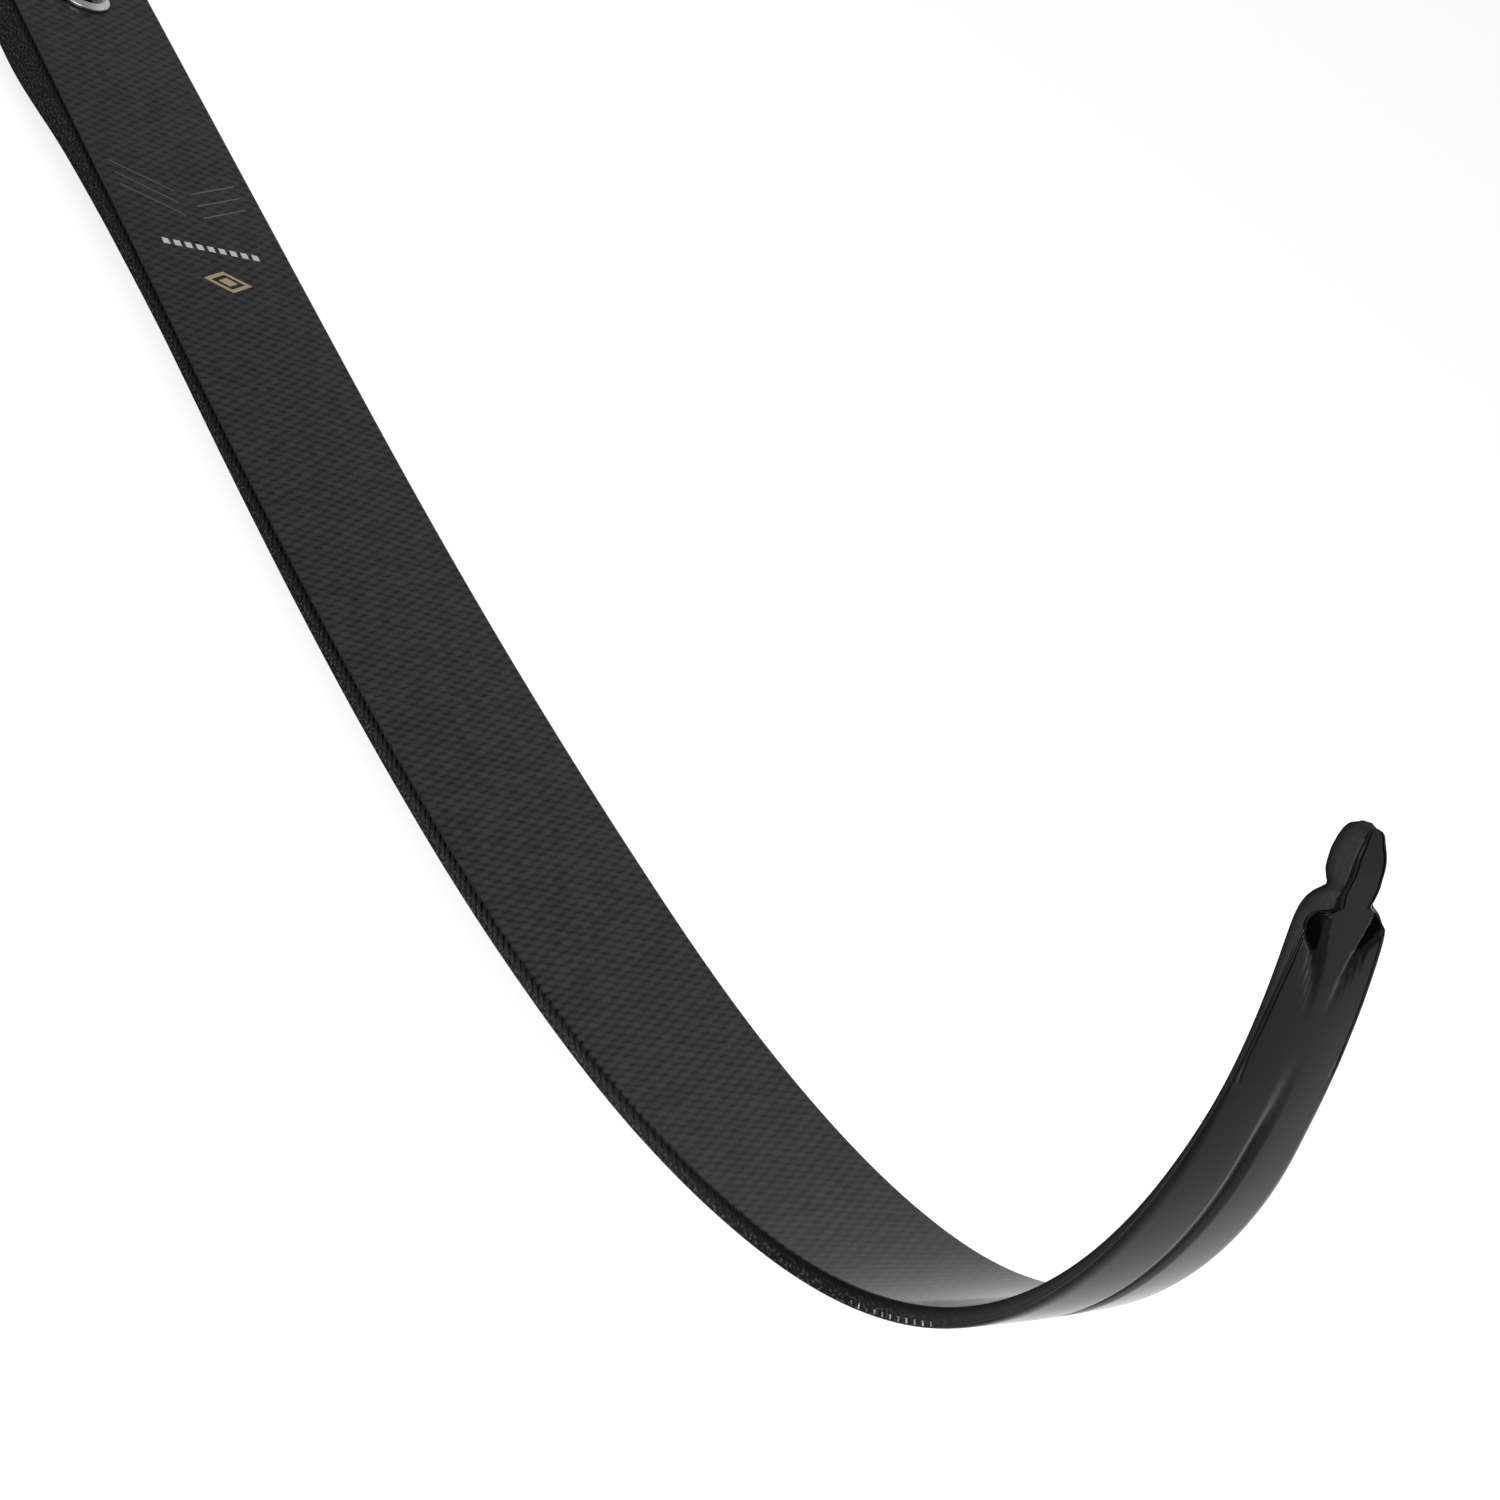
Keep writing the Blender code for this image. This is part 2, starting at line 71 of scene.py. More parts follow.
def linear(code):
    """A colour written as sRGB hex, in linear light for a shader's socket."""
    shares = [int(code[i:i + 2], 16) / SRGB_STEPS for i in (1, 3, 5)]
    return (*[s / SRGB_SLOPE if s <= SRGB_KNEE else ((s + SRGB_OFFSET) / (1 + SRGB_OFFSET)) ** SRGB_POWER
              for s in shares], 1.0)


def empty_material(name):
    material = bpy.data.materials.new(name)
    material.use_nodes = True
    material.node_tree.nodes.clear()
    return material


def add(material, kind, feeds, **settings):
    """Add one shader node with its settings, and feed its sockets values or other nodes' outputs."""
    node = material.node_tree.nodes.new("ShaderNode" + kind)
    for name, value in settings.items():
        setattr(node, name, value)
    for name, value in feeds.items():
        shown = [s for s in node.inputs if s.enabled]
        socket = shown[name] if isinstance(name, int) else next(s for s in shown if s.name == name)
        if isinstance(value, bpy.types.Node):
            value = next(s for s in value.outputs if s.enabled)
        if isinstance(value, bpy.types.NodeSocket):
            material.node_tree.links.new(value, socket)
        else:
            socket.default_value = value
    return node


# Hard maple, ground: pale cream wood with fine, long, low-contrast grain and no shine
MAPLE_PALE = linear("#d2b48a")
MAPLE_DARK = linear("#a9855a")
MAPLE_ROUGHNESS = 0.6
GRAIN_LENGTH = 26 * MM
GRAIN_WIDTH = 0.7 * MM
GRAIN_DETAIL = 4.0
GRAIN_ROUGHNESS = 0.6
PORE_DEPTH = 0.05 * MM
PORE_STRENGTH = 0.3
maple = empty_material("ground_maple")
where = add(maple, "TexCoord", {})
along_grain = add(maple, "Mapping", {
    "Vector": where.outputs["Object"], "Scale": (1 / GRAIN_LENGTH, 1 / GRAIN_WIDTH, 1 / GRAIN_WIDTH)})
grain = add(maple, "TexNoise", {
    "Vector": along_grain, "Scale": 1.0, "Detail": GRAIN_DETAIL, "Roughness": GRAIN_ROUGHNESS})
wood = add(maple, "Mix", {"Factor": grain.outputs["Fac"], "A": MAPLE_DARK, "B": MAPLE_PALE}, data_type="RGBA")
pores = add(maple, "Bump", {
    "Height": grain.outputs["Fac"], "Strength": PORE_STRENGTH, "Distance": PORE_DEPTH})
add(maple, "OutputMaterial", {"Surface": add(maple, "BsdfPrincipled", {
    "Base Color": wood, "Roughness": MAPLE_ROUGHNESS, "Normal": pores})})
for name in ("core_back", "butt_wedge", "core_belly", "tip_wedge"):
    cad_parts[name].material_slots[0].material = maple

# Carbon sheets
# One sheet of straight carbon fibre under the back skin and one above the belly skin, cured and ground.
# They carry the bending load. Their edges show as two dark lines round the maple.

# Straight carbon in resin, ground: near-black with fine pale streaks along the fibres
CARBON_DARK = linear("#17181a")
CARBON_PALE = linear("#303236")
CARBON_ROUGHNESS = 0.5
CARBON_SPECULAR = 0.3
STREAK_LENGTH = 18 * MM
STREAK_WIDTH = 0.25 * MM
straight_carbon = empty_material("straight_carbon")
where = add(straight_carbon, "TexCoord", {})
along_fibre = add(straight_carbon, "Mapping", {
    "Vector": where.outputs["Object"], "Scale": (1 / STREAK_LENGTH, 1 / STREAK_WIDTH, 1 / STREAK_WIDTH)})
streaks = add(straight_carbon, "TexNoise", {"Vector": along_fibre, "Scale": 1.0})
fibres = add(straight_carbon, "Mix", {
    "Factor": streaks.outputs["Fac"], "A": CARBON_DARK, "B": CARBON_PALE}, data_type="RGBA")
add(straight_carbon, "OutputMaterial", {"Surface": add(straight_carbon, "BsdfPrincipled", {
    "Base Color": fibres, "Roughness": CARBON_ROUGHNESS, "Specular IOR Level": CARBON_SPECULAR})})
for name in ("back_lamina", "belly_lamina"):
    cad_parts[name].material_slots[0].material = straight_carbon

# Woven skin
# Plain-weave carbon cloth on the back of the blade, folded down over both edges and cured under a satin
# resin. It is one long channel: the blade narrows, bends up and ends in the notched tip.
SEAT_CENTRE = 40.0
SHOULDER = 618.0
LENGTH = 635.5
TONGUE_END = 636.1
WIDTH = ((0, 44.4), (380, 44.3), (444, 41.7), (491, 37.6), (538, 31.4), (580, 23.9), (600, 20.1),
         (SHOULDER, 18.7), (620, 18.5), (622, 18.1), (623.5, 17.3), (624.8, 15.7), (625.9, 12.4),
         (626.9, 7.6), (628, 8.9), (629.5, 10.2), (631.5, 10.0), (633.5, 8.4), (634.6, 6.6),
         (LENGTH, 4.5), (635.9, 2.7), (TONGUE_END, 0.8))
THICKNESS = ((0, 12.4), (90, 12.4), (140, 7.9), (160, 6.6), (180, 5.6), (225, 4.4), (330, 4.6),
             (430, 3.5), (500, 3.5), (545, 3.3), (560, 3.1), (577, 2.8), (592, 2.4), (600, 2.35), (612, 2.55),
             (620, 2.8), (626, 3.3), (630, 3.8), (634.8, 3.6), (635.6, 3.2), (TONGUE_END, 2.4))
TURN_PER_METRE = ((0, 0), (200, 0), (270, 0.46), (360, 0.68), (423, 2.3), (465, 4.0), (491, 6.3),
                  (517, 14.2), (543, 19.6), (570, 13.7), (596, 8.7), (LENGTH, 5.0))
NOCK_LEAN = ((608, 0.0), (SHOULDER, 0.5), (624, 0.8), (630, 0.25), (LENGTH, 0.15))
SIDE_SLOPE = ((0, 0.0), (520, 0.0), (543, 0.1), (560, 0.48), (577, 0.72), (592, 0.75), (606, 0.6),
              (SHOULDER, 0.3), (622, 0.15), (626, -0.1), (629, -0.3), (633, -0.3), (LENGTH, -0.1))
SKIN = ((0, 0.4), (540, 0.4), (600, 0.28), (LENGTH, 0.28))
COVER = ((0, 0.8), (540, 0.8), (600, 0.56), (SHOULDER, 0.8), (630, 1.6), (LENGTH, 1.5))
SIDE_COVER = ((0, 0.8), (528, 0.8), (552, 1.5), (598, 1.3), (612, 1.2), (SHOULDER, 1.1), (624, 1.2),
              (630, 1.6), (LENGTH, 1.5))
CROWN_RISE = ((525, 0.0), (555, 0.32), (595, 0.26), (612, 0.1), (SHOULDER, 0.0))
CROWN_DROP = ((525, 0.0), (555, 0.4), (595, 0.32), (612, 0.15), (SHOULDER, 0.0))
CORNER_HEIGHT = ((528, 0.45), (556, 0.85), (585, 0.75), (602, 0.45))
CORNER_REACH = ((528, 0.45), (556, 2.6), (585, 2.2), (602, 0.45))
END_ROUND = ((634.8, 0.0), (635.6, 0.25), (TONGUE_END, 0.9))
GLUE = 0.1
HAIRLINE = 0.02
SKIN_FLANGE = 0.45
BACK_CORNER = 0.6
CORNER_STEPS = 5
ROW_RUNS = ((0, 90, 15.0), (90, 430, 5.0), (430, SHOULDER, 2.0), (SHOULDER, LENGTH, 0.35),
            (LENGTH, TONGUE_END, 0.1))
SPARE_STEPS = 2


def eased(law, place):
    """The value of a law at a place along the blade, on a cubic that never overshoots its points."""
    places = [pair[0] for pair in law]
    values = [pair[1] for pair in law]
    last = len(law) - 1
    if place <= places[0]:
        return values[0]
    if place >= places[last]:
        return values[last]
    rises = [(values[i + 1] - values[i]) / (places[i + 1] - places[i]) for i in range(last)]

    def tangent(i):
        if i == 0 or i == last or rises[i - 1] * rises[i] <= 0:
            return 0.0
        return 2 * rises[i - 1] * rises[i] / (rises[i - 1] + rises[i])

    i = bisect_right(places, place) - 1
    span = places[i + 1] - places[i]
    t = (place - places[i]) / span
    return ((1 + 2 * t) * (1 - t) ** 2 * values[i] + t * (1 - t) ** 2 * span * tangent(i)
            + t * t * (3 - 2 * t) * values[i + 1] + t * t * (t - 1) * span * tangent(i + 1))


back_line = [(-SEAT_CENTRE, THICKNESS[0][1], 0.0)]
for i in range(math.ceil(LENGTH) + SPARE_STEPS):
    x, z, angle = back_line[-1]
    turn = eased(TURN_PER_METRE, i + 0.5) * MM
    back_line.append((x + math.cos(angle + turn / 2), z + math.sin(angle + turn / 2), angle + turn))


def spot(place, across, depth):
    """A point in metres: along the blade, across it, and below the back toward the belly."""
    i = int(place)
    x, z, angle = (a + (b - a) * (place - i) for a, b in zip(back_line[i], back_line[i + 1]))
    return Vector((x + math.sin(angle) * depth, across, z - math.cos(angle) * depth)) * MM


def half_width(place, depth):
    belly = eased(THICKNESS, place)
    on_back = eased(WIDTH, place) / 2
    on_belly = eased(WIDTH, place + eased(NOCK_LEAN, place) * belly) / 2 + eased(SIDE_SLOPE, place) * belly
    return on_back + (on_belly - on_back) * depth / belly


EDGE_ROOM = 3.0
DEEP_HOLLOW = 0.47


def edge_scale(place):
    """How much rounded corners and edge lines shrink on the narrow tongue."""
    return min(1.0, half_width(place, eased(THICKNESS, place)) / EDGE_ROOM)


def crown(place, across):
    """How far the belly stands proud of its flat level: it is crowned in the recurve, high in the middle."""
    share = (across / half_width(place, eased(THICKNESS, place))) ** 2
    return eased(CROWN_RISE, place) * (1 - share) - eased(CROWN_DROP, place) * share


def blade_rows(start, end):
    """Places for the rows of a blade piece: closer together where the blade bends and at the notches."""
    places = [start, end]
    for low, high, step in ROW_RUNS:
        count = round((high - low) / step)
        places += [low + (high - low) * i / count for i in range(count)]
    return sorted(p for p in set(places) if start <= p <= end)


def rounded_corner(place, depth, height, reach, downward):
    """Points of a rounded corner from the flat face at a depth to the side, leaning with the side."""
    points = []
    for i in range(CORNER_STEPS + 1):
        angle = math.pi / 2 * i / CORNER_STEPS
        level = depth + downward * height * (1 - math.cos(angle))
        points.append((half_width(place, level) - reach * (1 - math.sin(angle)), level))
    return points


MERGE = 1e-7


def made(name, bm, materials):
    """A finished bmesh as an object of the scene, with its materials."""
    mesh = bpy.data.meshes.new(name)
    bm.to_mesh(mesh)
    bm.free()
    for material in materials:
        mesh.materials.append(material)
    piece = bpy.data.objects.new(name, mesh)
    bpy.context.scene.collection.objects.link(piece)
    return piece


def blade_shell(name, places, half_section, face_columns, side_column, materials):
    """A closed body along the blade. Each row of a grid becomes one section, drawn as its right half from
    the centre line round to the centre line again and mirrored. The UV maps hold millimetres: place and
    distance from the centre line, place and depth below the back, and how far a belly face is hollowed with
    the height above the belly. The second material is on the columns from the side on, and a third, if
    given, is painted shade deep in the hollows."""
    rows = []
    for place in places:
        right = half_section(place)
        belly = eased(THICKNESS, place)
        row = []
        for i, (across, depth) in enumerate(right):
            reach = row[-1][2] + math.dist(right[i], right[i - 1]) if row else 0.0
            hollow = max(0.0, belly + crown(place, across) - depth) if i < face_columns else 0.0
            row.append((across, depth, reach, hollow))
        row += [(-across, depth, -reach, hollow) for across, depth, reach, hollow in reversed(row[1:-1])]
        rows.append(row + row[:1])
    bm = bmesh.new()
    blade_mm = bm.loops.layers.uv.new("blade_mm")
    edge_mm = bm.loops.layers.uv.new("edge_mm")
    hollow_mm = bm.loops.layers.uv.new("hollow_mm")
    span = len(rows[0]) - 1
    bmesh.ops.create_grid(bm, x_segments=span, y_segments=len(rows) - 1, size=1.0)
    bm.verts.index_update()
    for face in bm.faces:
        columns = []
        hollows = []
        for loop in face.loops:
            row, column = divmod(loop.vert.index, span + 1)
            across, depth, reach, hollow = rows[row][column]
            loop[blade_mm].uv = (places[row], reach)
            loop[edge_mm].uv = (places[row], depth)
            loop[hollow_mm].uv = (hollow, eased(THICKNESS, places[row]) - depth)
            columns.append(column)
            hollows.append(hollow)
        low = min(columns)
        face.material_index = 1 if side_column <= min(low, span - 1 - low) else 0
        if len(materials) > 2 and min(hollows) > DEEP_HOLLOW:
            face.material_index = 2
    for vert in bm.verts:
        row, column = divmod(vert.index, span + 1)
        vert.co = spot(places[row], rows[row][column][0], rows[row][column][1])
    bmesh.ops.remove_doubles(bm, verts=bm.verts, dist=MERGE)
    bmesh.ops.holes_fill(bm, edges=[edge for edge in bm.edges if edge.is_boundary], sides=0)
    bmesh.ops.recalc_face_normals(bm, faces=bm.faces)
    return made(name, bm, materials)


SMOOTH_BELOW = math.radians(32)


def smoothed(piece):
    piece.data.shade_smooth()
    piece.data.set_sharp_from_angle(angle=SMOOTH_BELOW)


SLOT_CENTRE = 14.0
SLOT_WIDTH = 10.5
FITTING_CENTRE = 71.15
BUTT_MIDDLE = 6.2
CUT_REACH = 30.0
ROUND_STEPS = 64


def drill(place, diameter):
    """A round cutter through the butt."""
    bm = bmesh.new()
    bmesh.ops.create_cone(bm, cap_ends=True, segments=ROUND_STEPS, radius1=diameter / 2 * MM,
                          radius2=diameter / 2 * MM, depth=CUT_REACH * MM)
    bmesh.ops.translate(bm, verts=bm.verts, vec=Vector((place - SEAT_CENTRE, 0.0, BUTT_MIDDLE)) * MM)
    return bm


def slot_mill():
    """The straight part of the open bolt slot, out past the butt end."""
    bm = bmesh.new()
    bmesh.ops.create_cube(bm, size=1.0)
    bmesh.ops.scale(bm, verts=bm.verts, vec=Vector((2 * SLOT_CENTRE, SLOT_WIDTH, CUT_REACH)) * MM)
    bmesh.ops.translate(bm, verts=bm.verts, vec=Vector((-SEAT_CENTRE, 0.0, BUTT_MIDDLE)) * MM)
    return bm


def cut(piece, tools):
    """Cut tools out of a piece for good, one after the other."""
    for bm in tools:
        tool = made("tool", bm, [])
        modifier = piece.modifiers.new("cut", "BOOLEAN")
        modifier.operation = "DIFFERENCE"
        modifier.solver = "EXACT"
        modifier.object = tool
        solid = bpy.data.meshes.new_from_object(piece.evaluated_get(bpy.context.evaluated_depsgraph_get()))
        piece.modifiers.clear()
        piece.data = solid
        solid.name = piece.name
        bpy.data.objects.remove(tool)


SUPPORT = 0.2
SIDE_SHARES = (0.12, 0.5, 0.88, 1.0)


def skin_inside(place):
    return eased(SKIN, place) + eased(END_ROUND, place)


def skin_half(place):
    inside = skin_inside(place)
    outside = eased(END_ROUND, place)
    rim = max(eased(THICKNESS, place) - eased(SIDE_COVER, place) - HAIRLINE, inside + GLUE)
    round_over = BACK_CORNER * edge_scale(place)
    corner = rounded_corner(place, outside, round_over, round_over, 1)
    flat = corner[0][0]
    levels = [corner[-1][1] + (rim - corner[-1][1]) * share for share in SIDE_SHARES]
    return ([(0.0, outside), (flat / 2, outside), (flat - SUPPORT * edge_scale(place), outside)] + corner
            + [(half_width(place, level), level) for level in levels]
            + [(half_width(place, level) - SKIN_FLANGE * edge_scale(place), level) for level in (rim, inside)]
            + [(0.0, inside)])


# Woven carbon under satin resin: a grid of small soft pillows, each tow a shade paler on its crown and dark
# where it dives, with fine fibre streaks. The tows lie closer together toward the tip and slightly askew.
TOWS_AT_BUTT = 0.245
TOWS_GAIN = 0.00023
ROW_SKEW = 0.092
TOW_ACROSS = 2.4
STAGGER = 0.5
DRIFT_LENGTH = 9.0
DRIFT_ROWS = 0.7
FIBRE_WIDTH = 0.22
FIBRE_LENGTH = 3.0
PILLOW_HEIGHT = 0.06 * MM
RELIEF_FADE = (430.0, 495.0)
RELIEF = (0.7, 0.12)
CLOTH = linear("#313131")
CLOTH_DEEP = linear("#070707")
CLOTH_ROUGHNESS = 0.12
CLOTH_SPECULAR = 0.059
DIVE_EDGE = 0.25
DIVE_MIDDLE = 0.75
SEAM_SHADE = 0.3
TOW_TINT = 0.3
STREAK_TINT = 0.3
SHADE_RANGE = (0.4, 1.3)
woven_carbon = empty_material("woven_carbon")
cloth_mm = add(woven_carbon, "SeparateXYZ", {0: add(woven_carbon, "UVMap", {}, uv_map="blade_mm")})
place_mm, reach_mm = cloth_mm.outputs["X"], cloth_mm.outputs["Y"]
tightness = add(woven_carbon, "Math", {0: place_mm, 1: TOWS_GAIN, 2: TOWS_AT_BUTT},
                operation="MULTIPLY_ADD")
level_rows = add(woven_carbon, "Math", {0: place_mm, 1: tightness}, operation="MULTIPLY")
rows_laid = add(woven_carbon, "Math", {0: reach_mm, 1: ROW_SKEW, 2: level_rows}, operation="MULTIPLY_ADD")
columns_laid = add(woven_carbon, "Math", {0: reach_mm, 1: TOW_ACROSS}, operation="DIVIDE")
column = add(woven_carbon, "Math", {0: columns_laid}, operation="FLOOR")
rows_laid = add(woven_carbon, "Math", {0: column, 1: STAGGER, 2: rows_laid}, operation="MULTIPLY_ADD")
drift_mm = add(woven_carbon, "CombineXYZ", {
    0: add(woven_carbon, "Math", {0: place_mm, 1: DRIFT_LENGTH}, operation="DIVIDE"), 1: column})
drift = add(woven_carbon, "TexNoise", {"Vector": drift_mm, "Scale": 1.0})
rows_laid = add(woven_carbon, "Math", {0: drift.outputs["Fac"], 1: DRIFT_ROWS, 2: rows_laid},
                operation="MULTIPLY_ADD")
crowns = []
for laid in (rows_laid, columns_laid):
    turn = add(woven_carbon, "Math", {0: laid, 1: math.pi}, operation="MULTIPLY")
    crowns.append(add(woven_carbon, "Math", {0: add(woven_carbon, "Math", {0: turn}, operation="SINE")},
                      operation="ABSOLUTE"))
dive = add(woven_carbon, "Math", {0: 1.0, 1: crowns[0]}, operation="SUBTRACT")
under = add(woven_carbon, "Math", {0: crowns[1], 1: DIVE_MIDDLE, 2: DIVE_EDGE}, operation="MULTIPLY_ADD")
dive = add(woven_carbon, "Math", {0: dive, 1: under}, operation="MULTIPLY")
seam = add(woven_carbon, "Math", {0: 1.0, 1: crowns[1]}, operation="SUBTRACT")
dive = add(woven_carbon, "Math", {0: seam, 1: SEAM_SHADE, 2: dive}, operation="MULTIPLY_ADD")
pillow = add(woven_carbon, "Math", {0: 1.0, 1: dive}, operation="SUBTRACT")
cell = add(woven_carbon, "CombineXYZ", {
    0: add(woven_carbon, "Math", {0: rows_laid}, operation="FLOOR"), 1: column})
tow_tint = add(woven_carbon, "TexWhiteNoise", {"Vector": cell}, noise_dimensions="2D")
streak_mm = add(woven_carbon, "CombineXYZ", {
    0: add(woven_carbon, "Math", {0: place_mm, 1: FIBRE_WIDTH}, operation="DIVIDE"),
    1: add(woven_carbon, "Math", {0: reach_mm, 1: FIBRE_LENGTH}, operation="DIVIDE")})
streaks = add(woven_carbon, "TexNoise", {"Vector": streak_mm, "Scale": 1.0})
tinted = add(woven_carbon, "Math", {0: tow_tint.outputs["Value"], 1: TOW_TINT, 2: pillow},
             operation="MULTIPLY_ADD")
streaked = add(woven_carbon, "Math", {0: streaks.outputs["Fac"], 1: STREAK_TINT, 2: tinted},
               operation="MULTIPLY_ADD")
shade = add(woven_carbon, "MapRange", {
    "Value": streaked, "From Min": SHADE_RANGE[0], "From Max": SHADE_RANGE[1]})
cloth = add(woven_carbon, "Mix", {"Factor": shade, "A": CLOTH_DEEP, "B": CLOTH}, data_type="RGBA")

# A print under the resin near the butt, in plain shapes: thin grey chevrons, a row of white bars and a cream
# lozenge, each placed in millimetres from the butt end and from the centre line
CHEVRON_TIP = 166.0
CHEVRON_PITCH = 5.0
CHEVRON_SLOPE = 0.55
CHEVRON_ARM = (2.5, 17.0)
LINE = 0.5
BAR_PLACE = 183.0
BAR_PITCH = 3.0
BAR_REACH = 13.0
BAR_HALF = (1.1, 0.9)
LOZENGE_PLACE = 196.0
LOZENGE_HALF = (4.2, 6.5)
LOZENGE_FRAME = (0.85, 0.15)
LOZENGE_HEART = (0.0, 0.4)
PRINT_GREY = linear("#5c5c5c")
PRINT_WHITE = linear("#c9c9c9")
PRINT_CREAM = linear("#a89a78")
arm = add(woven_carbon, "Math", {0: reach_mm}, operation="ABSOLUTE")
swept = add(woven_carbon, "Math", {0: arm, 1: CHEVRON_SLOPE, 2: place_mm}, operation="MULTIPLY_ADD")
from_tip = add(woven_carbon, "Math", {0: swept, 1: CHEVRON_TIP}, operation="SUBTRACT")
nearest = add(woven_carbon, "Math", {0: from_tip, 1: CHEVRON_PITCH / 2}, operation="PINGPONG")
inks = [(PRINT_GREY, ((nearest, 0.0, LINE / 2), (from_tip, 0.0, CHEVRON_PITCH + LINE),
                      (arm, sum(CHEVRON_ARM) / 2, (CHEVRON_ARM[1] - CHEVRON_ARM[0]) / 2)))]
bar = add(woven_carbon, "Math", {0: reach_mm, 1: BAR_PITCH / 2}, operation="PINGPONG")
inks.append((PRINT_WHITE, ((place_mm, BAR_PLACE, BAR_HALF[0]), (arm, 0.0, BAR_REACH),
                           (bar, 0.0, BAR_HALF[1]))))
off_centre = add(woven_carbon, "Math", {0: place_mm, 1: LOZENGE_PLACE}, operation="SUBTRACT")
long_way = add(woven_carbon, "Math", {0: add(woven_carbon, "Math", {0: off_centre}, operation="ABSOLUTE"),
                                      1: LOZENGE_HALF[0]}, operation="DIVIDE")
lozenge = add(woven_carbon, "Math", {0: arm, 1: 1 / LOZENGE_HALF[1], 2: long_way}, operation="MULTIPLY_ADD")
inks += [(PRINT_CREAM, ((lozenge, middle, reach),)) for middle, reach in (LOZENGE_FRAME, LOZENGE_HEART)]
for ink, limits in inks:
    mask = None
    for value, middle, reach in limits:
        inside = add(woven_carbon, "Math", {0: value, 1: middle, 2: reach}, operation="COMPARE")
        mask = add(woven_carbon, "Math", {0: mask, 1: inside}, operation="MULTIPLY") if mask else inside
    cloth = add(woven_carbon, "Mix", {"Factor": mask, "A": cloth, "B": ink}, data_type="RGBA")
relief = add(woven_carbon, "MapRange", {
    "Value": place_mm, "From Min": RELIEF_FADE[0], "From Max": RELIEF_FADE[1],
    "To Min": RELIEF[0], "To Max": RELIEF[1]})
weave = add(woven_carbon, "Bump", {"Height": pillow, "Strength": relief, "Distance": PILLOW_HEIGHT})
add(woven_carbon, "OutputMaterial", {"Surface": add(woven_carbon, "BsdfPrincipled", {
    "Base Color": cloth, "Roughness": CLOTH_ROUGHNESS, "Specular IOR Level": CLOTH_SPECULAR,
    "Normal": weave})})

# The same cloth where it is folded over the edge: duller, with short slanting dashes where the tows turn
# down, painted shade in a band just under the corner, painted glints as pale ticks of tow ends on the belly's
# rim where the recurve starts, and a tone along the blade that is painted light and shade
EDGE_LAY = 1.2
EDGE_LIGHT_RISING = (310.0, 420.0)
EDGE_SHADE_FALLING = (452.0, 500.0)
EDGE_LIGHT_PEAK = (515.0, 555.0)
EDGE_LIGHT_EASING = (616.0, 627.0)
EDGE_LIT_BUTT = linear("#1f1f1f")
EDGE_LIT_MIDDLE = linear("#303030")
EDGE_LIT_BEND = linear("#1a1a1a")
EDGE_LIT_RECURVE = linear("#323232")
EDGE_LIT_TIP = linear("#282828")
EDGE_DARK = linear("#0a0a0a")
EDGE_ROUGHNESS = 0.6
EDGE_SPECULAR = 0.003
PATCHES_PER_MM = 0.9
PATCH_DETAIL = 3.0
PATCH_WEIGHT = 1.2
DASH_RANGE = (0.45, 1.1)
DASH_AMOUNT = (0.65, 0.0)
DASH_FADE = (470.0, 545.0)
DASH_LEFT = (1.0, 0.1)
ROPE_DEPTH = 0.05 * MM
ROPE_STRENGTH = 0.3
CORNER_SHADE_BAND = (0.5, 1.7)
CORNER_SHADE = (0.6, 0.0)
GAP_BLACK = linear("#020202")
GAP_RANGE = (0.95, 1.3)
GAP_BAND = (0.7, 2.4)
GAP_BELOW = (1.0, 0.25)
GAP_FADE = (390.0, 500.0)
GAP_LEFT = (0.95, 0.15)
RIM_RANGE = (0.36, 0.48)
RIM_AMOUNT = (0.9, 0.0)
RIM_BAND = (0.5, 1.9)
RIM_FADE = (440.0, 480.0)
SPECK = 0.7
SPECK_DETAIL = 1.0
SPECK_PALE = linear("#505050")
SPECK_RANGE = (0.52, 0.68)
SPECK_AMOUNT = (0.0, 0.8)
SPECK_BAND = (0.8, 2.6)
SPECK_FADE = (515.0, 540.0)
SPECK_LEFT = (1.0, 0.1)
TICK_PITCH = 1.6
TICK_WIDTH = (0.0, 0.15)
TICK_PLACE = (522.8, 9.0)
TICK_DEPTH = (2.65, 0.4)
TICK_GLINT = linear("#a0a0a0")
GLINT_RANGE = (0.36, 0.62)
RISING = (0.0, 1.0)
FALLING = (1.0, 0.0)
folded_cloth = empty_material("folded_cloth")
edge_map = add(folded_cloth, "UVMap", {}, uv_map="edge_mm")
side_mm = add(folded_cloth, "SeparateXYZ", {0: edge_map})
side_place, side_depth = side_mm.outputs["X"], side_mm.outputs["Y"]
rim_mm = add(folded_cloth, "SeparateXYZ", {0: add(folded_cloth, "UVMap", {}, uv_map="hollow_mm")})
slanted = add(folded_cloth, "Math", {0: side_depth, 1: -EDGE_LAY, 2: side_place}, operation="MULTIPLY_ADD")
side_tight = add(folded_cloth, "Math", {0: side_place, 1: TOWS_GAIN, 2: TOWS_AT_BUTT},
                 operation="MULTIPLY_ADD")
side_rows = add(folded_cloth, "Math", {0: slanted, 1: side_tight}, operation="MULTIPLY")
side_turn = add(folded_cloth, "Math", {0: side_rows, 1: math.pi}, operation="MULTIPLY")
strand = add(folded_cloth, "Math", {0: add(folded_cloth, "Math", {0: side_turn}, operation="SINE")},
             operation="ABSOLUTE")
patches = add(folded_cloth, "TexNoise", {
    "Vector": edge_map, "Scale": PATCHES_PER_MM, "Detail": PATCH_DETAIL}).outputs["Fac"]
specks = add(folded_cloth, "TexNoise", {
    "Vector": edge_map, "Scale": 1 / SPECK, "Detail": SPECK_DETAIL}).outputs["Fac"]
broken = add(folded_cloth, "Math", {0: patches, 1: PATCH_WEIGHT, 2: strand}, operation="MULTIPLY_ADD")
